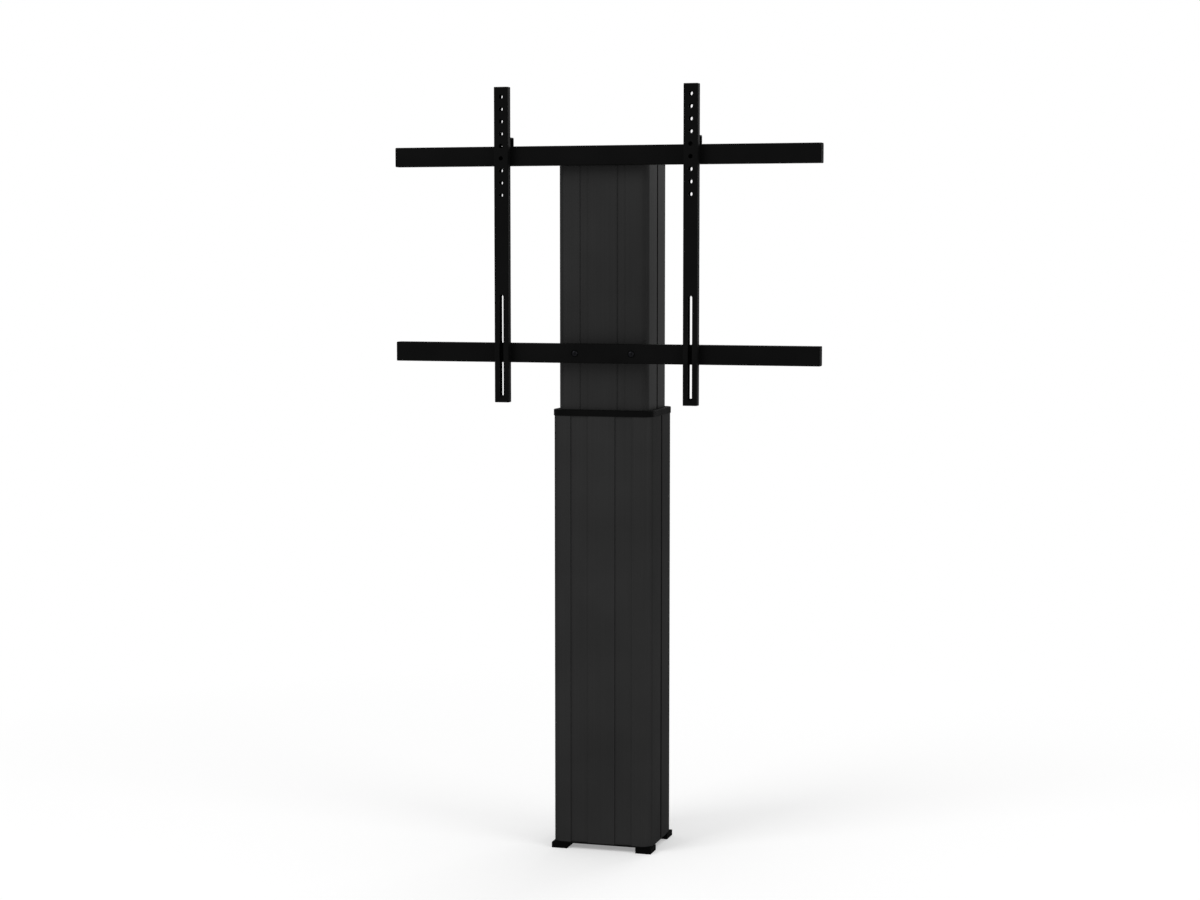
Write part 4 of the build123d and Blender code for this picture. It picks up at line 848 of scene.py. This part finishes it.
knurl_tree, knurl_in, knurl_out = tree_of("knurled rim", {
    "Radius": "Float", "Height": "Float", "Ridge": "Float", "Ridges": "Int",
    "Low end": "Float", "Metal": "Material"})
ridge_size = add(knurl_tree, "ShaderNodeCombineXYZ", {
    "X": knurl_in["Ridge"], "Y": knurl_in["Ridge"], "Z": knurl_in["Height"]})
one_ridge = add(knurl_tree, "GeometryNodeMeshCube", {"Size": ridge_size})
on_edge = add(knurl_tree, "GeometryNodeTransform", {
    "Geometry": one_ridge, "Rotation": (0.0, 0.0, pi / 4)})
rim = add(knurl_tree, "GeometryNodeMeshCircle", {
    "Vertices": knurl_in["Ridges"], "Radius": knurl_in["Radius"]})
ridges = add(knurl_tree, "GeometryNodeInstanceOnPoints", {
    "Points": rim, "Instance": on_edge,
    "Rotation": shares_of_a_turn(knurl_tree, knurl_in["Ridges"])})
ridges_real = add(knurl_tree, "GeometryNodeRealizeInstances", {"Geometry": ridges})
rim_middle = add(knurl_tree, "ShaderNodeMath", {0: knurl_in["Height"], 1: 0.5},
                 operation="MULTIPLY")
rim_height = add(knurl_tree, "ShaderNodeMath", {0: rim_middle, 1: knurl_in["Low end"]},
                 operation="ADD")
rim_lift = add(knurl_tree, "ShaderNodeCombineXYZ", {"Z": rim_height})
rim_there = add(knurl_tree, "GeometryNodeTransform", {
    "Geometry": ridges_real, "Translation": rim_lift})
with_head = add(knurl_tree, "GeometryNodeJoinGeometry", {"Geometry": rim_there})
fed(knurl_tree, with_head, {"Geometry": knurl_in["Geometry"]})
knurled = add(knurl_tree, "GeometryNodeSetMaterial", {
    "Geometry": with_head, "Material": knurl_in["Metal"]})
fed(knurl_tree, knurl_out, {"Geometry": knurled})


def placed(piece, matrix):
    # the piece moved to its place within its mesh, so that its object stays at the origin
    piece.data.transform(matrix)
    piece.data.update()


stud_core, stud_tip, stud_chamfer = 2.55 * mm, 2.0 * mm, 0.8 * mm
stud_crest, stud_pitch = 3.0 * mm, 1.0 * mm
nut_width, nut_height = 10 * mm, 5 * mm
# shank with its tip, flange of the knob, and the shallow dish in the knob's face, in mm
knob_profile = [(0, 0), (1.9, 0), (2.5, 0.6), (2.5, 7), (5.3, 7), (5.7, 7.4), (5.7, 10.5),
                (5.2, 11), (1.6, 11), (1.2, 10.6), (0, 10.6)]
for side in ("left", "right"):
    stud_low, stud_high, stud_middle = box_of(side + "_level_screw")
    hook_low, hook_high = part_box(side + "_arm_hook")
    knob_low, _, knob_middle = box_of(side + "_lock_screw")
    tall = stud_high.z - stud_low.z
    cut_length = tall - 2 * stud_chamfer
    stud = turned([(0, 0), (stud_tip, 0), (stud_core, stud_chamfer),
                   (stud_core, tall - stud_chamfer), (stud_tip, tall), (0, tall)],
                  side + "_level_stud", 24)
    with_nodes(stud, thread_tree, {
        "Crest radius": stud_crest, "Ridge": 0.5 * mm, "Turns": cut_length / stud_pitch,
        "Length": cut_length, "Starts": 1, "Steps per turn": 20, "Corners": 4, "Metal": zinc})
    placed(applied(stud, zinc), Matrix.Translation((stud_middle.x, stud_middle.y, stud_low.z)))
    nut_shape = bmesh.new()
    nut_place = Matrix.Translation((stud_middle.x, stud_middle.y, hook_high.z + nut_height / 2))
    bmesh.ops.create_cone(nut_shape, cap_ends=True, segments=6, depth=nut_height,
                          radius1=hexagon_corner * nut_width,
                          radius2=hexagon_corner * nut_width, matrix=nut_place)
    nut = applied(eased(as_piece(nut_shape, side + "_lock_nut"), 0.4 * mm), zinc)
    knob = turned([(radius * mm, z * mm) for radius, z in knob_profile],
                  side + "_lock_knob", 40)
    with_nodes(knob, knurl_tree, {
        "Radius": 5.62 * mm, "Height": 2.8 * mm, "Ridge": 0.5 * mm, "Ridges": 44,
        "Low end": 7.6 * mm, "Metal": zinc})
    knob_place = Matrix.Translation((knob_middle.x, knob_low.y, knob_middle.z))
    placed(applied(knob, zinc), knob_place @ Matrix.Rotation(-pi / 2, 4, "X"))
    for piece in (stud, nut, knob):
        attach(piece, side + "_arm_body")
    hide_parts(side + "_level_screw")
    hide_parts(side + "_level_screw")
    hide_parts(side + "_lock_screw")


# Spindle: rolled steel, 18 mm across, with a two-start trapezoidal thread of 8 mm lead. Below
# its collar a plain journal runs in the two bearings and takes the driven gear.
# ground steel is the smoothest metal of the drive, and takes the clearest highlights
ground_steel = metal("ground bearing steel", "#b0b1b3", 0.25, 0.3 * mm)
spindle_low, spindle_high, spindle_middle = box_of("spindle")
spindle_length = spindle_high.z - spindle_low.z
journal, collar, neck, core, land = 8.5 * mm, 13 * mm, 9 * mm, 7.4 * mm, 8.9 * mm
broken, journal_end, collar_end, neck_end = 0.5 * mm, 31 * mm, 35 * mm, 41 * mm
thread_start, land_length, runout, thread_lead = 42 * mm, 13 * mm, 1 * mm, 8 * mm
land_start = spindle_length - land_length
spindle = turned([
    (0, 0), (journal - broken, 0), (journal, broken), (journal, journal_end),
    (collar - broken, journal_end), (collar, journal_end + broken),
    (collar, collar_end - broken), (collar - broken, collar_end), (neck, collar_end),
    (neck, neck_end), (core, thread_start), (core, land_start - runout), (land, land_start),
    (land, spindle_length), (0, spindle_length)], "spindle_shaft", 40)
placed(spindle, Matrix.Translation((0, 0, -thread_start)))
threaded_length = land_start - runout - thread_start
with_nodes(spindle, thread_tree, {
    "Crest radius": neck, "Ridge": 1.5 * mm, "Turns": threaded_length / thread_lead,
    "Length": threaded_length, "Starts": 2, "Steps per turn": 20, "Corners": 6,
    "Metal": ground_steel})
placed(applied(spindle, ground_steel), Matrix.Translation(
    (spindle_middle.x, spindle_middle.y, spindle_low.z + thread_start)))
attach(spindle, "spindle_body")
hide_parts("spindle")


# The drive inside the column keeps its CAD shapes, each in the finish of the real one: acetal
# gears and glides, die-cast gear case, steel tubes and bearings, brass nut, painted motor.
# acetal is milky white with a slight gloss
white_acetal = moulded("natural acetal", "#d9d5c8", 0.8 * mm, 0.42, gloss=0.5)
# the casting is dull grey and the anodised tube brighter, the brass warm yellow, paint satin
cast_aluminium = metal("die-cast aluminium", "#a7a9ab", 0.5, 3 * mm)
bright_tube = metal("natural anodised tube", "#b9babc", 0.4, 300 * mm)
turned_brass = metal("turned brass", "#b8974f", 0.3, 0.5 * mm)
grey_paint = powder_coated("grey tube paint", "#8c8d8f", "#a0a1a3")
motor_paint = powder_coated("black motor enamel", "#1d1d1f", "#3c3c3e")
finishes = {
    black_oxide: ("upper_bar_bolts", "lower_bar_nuts"),
    zinc: ("motor_screws", "upper_bar_inserts", "lower_bar_sleeves", "rod_end", "clevis_pin",
           "cross_bracket", "power_inlet_pins"),
    white_acetal: ("spindle_gear", "motor_pinion", "upper_glides", "lower_glides",
                   "spindle_guide_ring", "actuator_bush"),
    cast_aluminium: ("gear_case_base", "gear_case_cover"),
    bright_tube: ("push_tube",),
    ground_steel: ("bearing_outer_races", "bearing_inner_races", "motor_shaft"),
    turned_brass: ("drive_nut",),
    grey_paint: ("actuator_tube",),
    motor_paint: ("motor_body",)}
for material, node_names in finishes.items():
    for node_name in node_names:
        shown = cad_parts[node_name]
        shown.data.materials.clear()
        shown.data.materials.append(material)
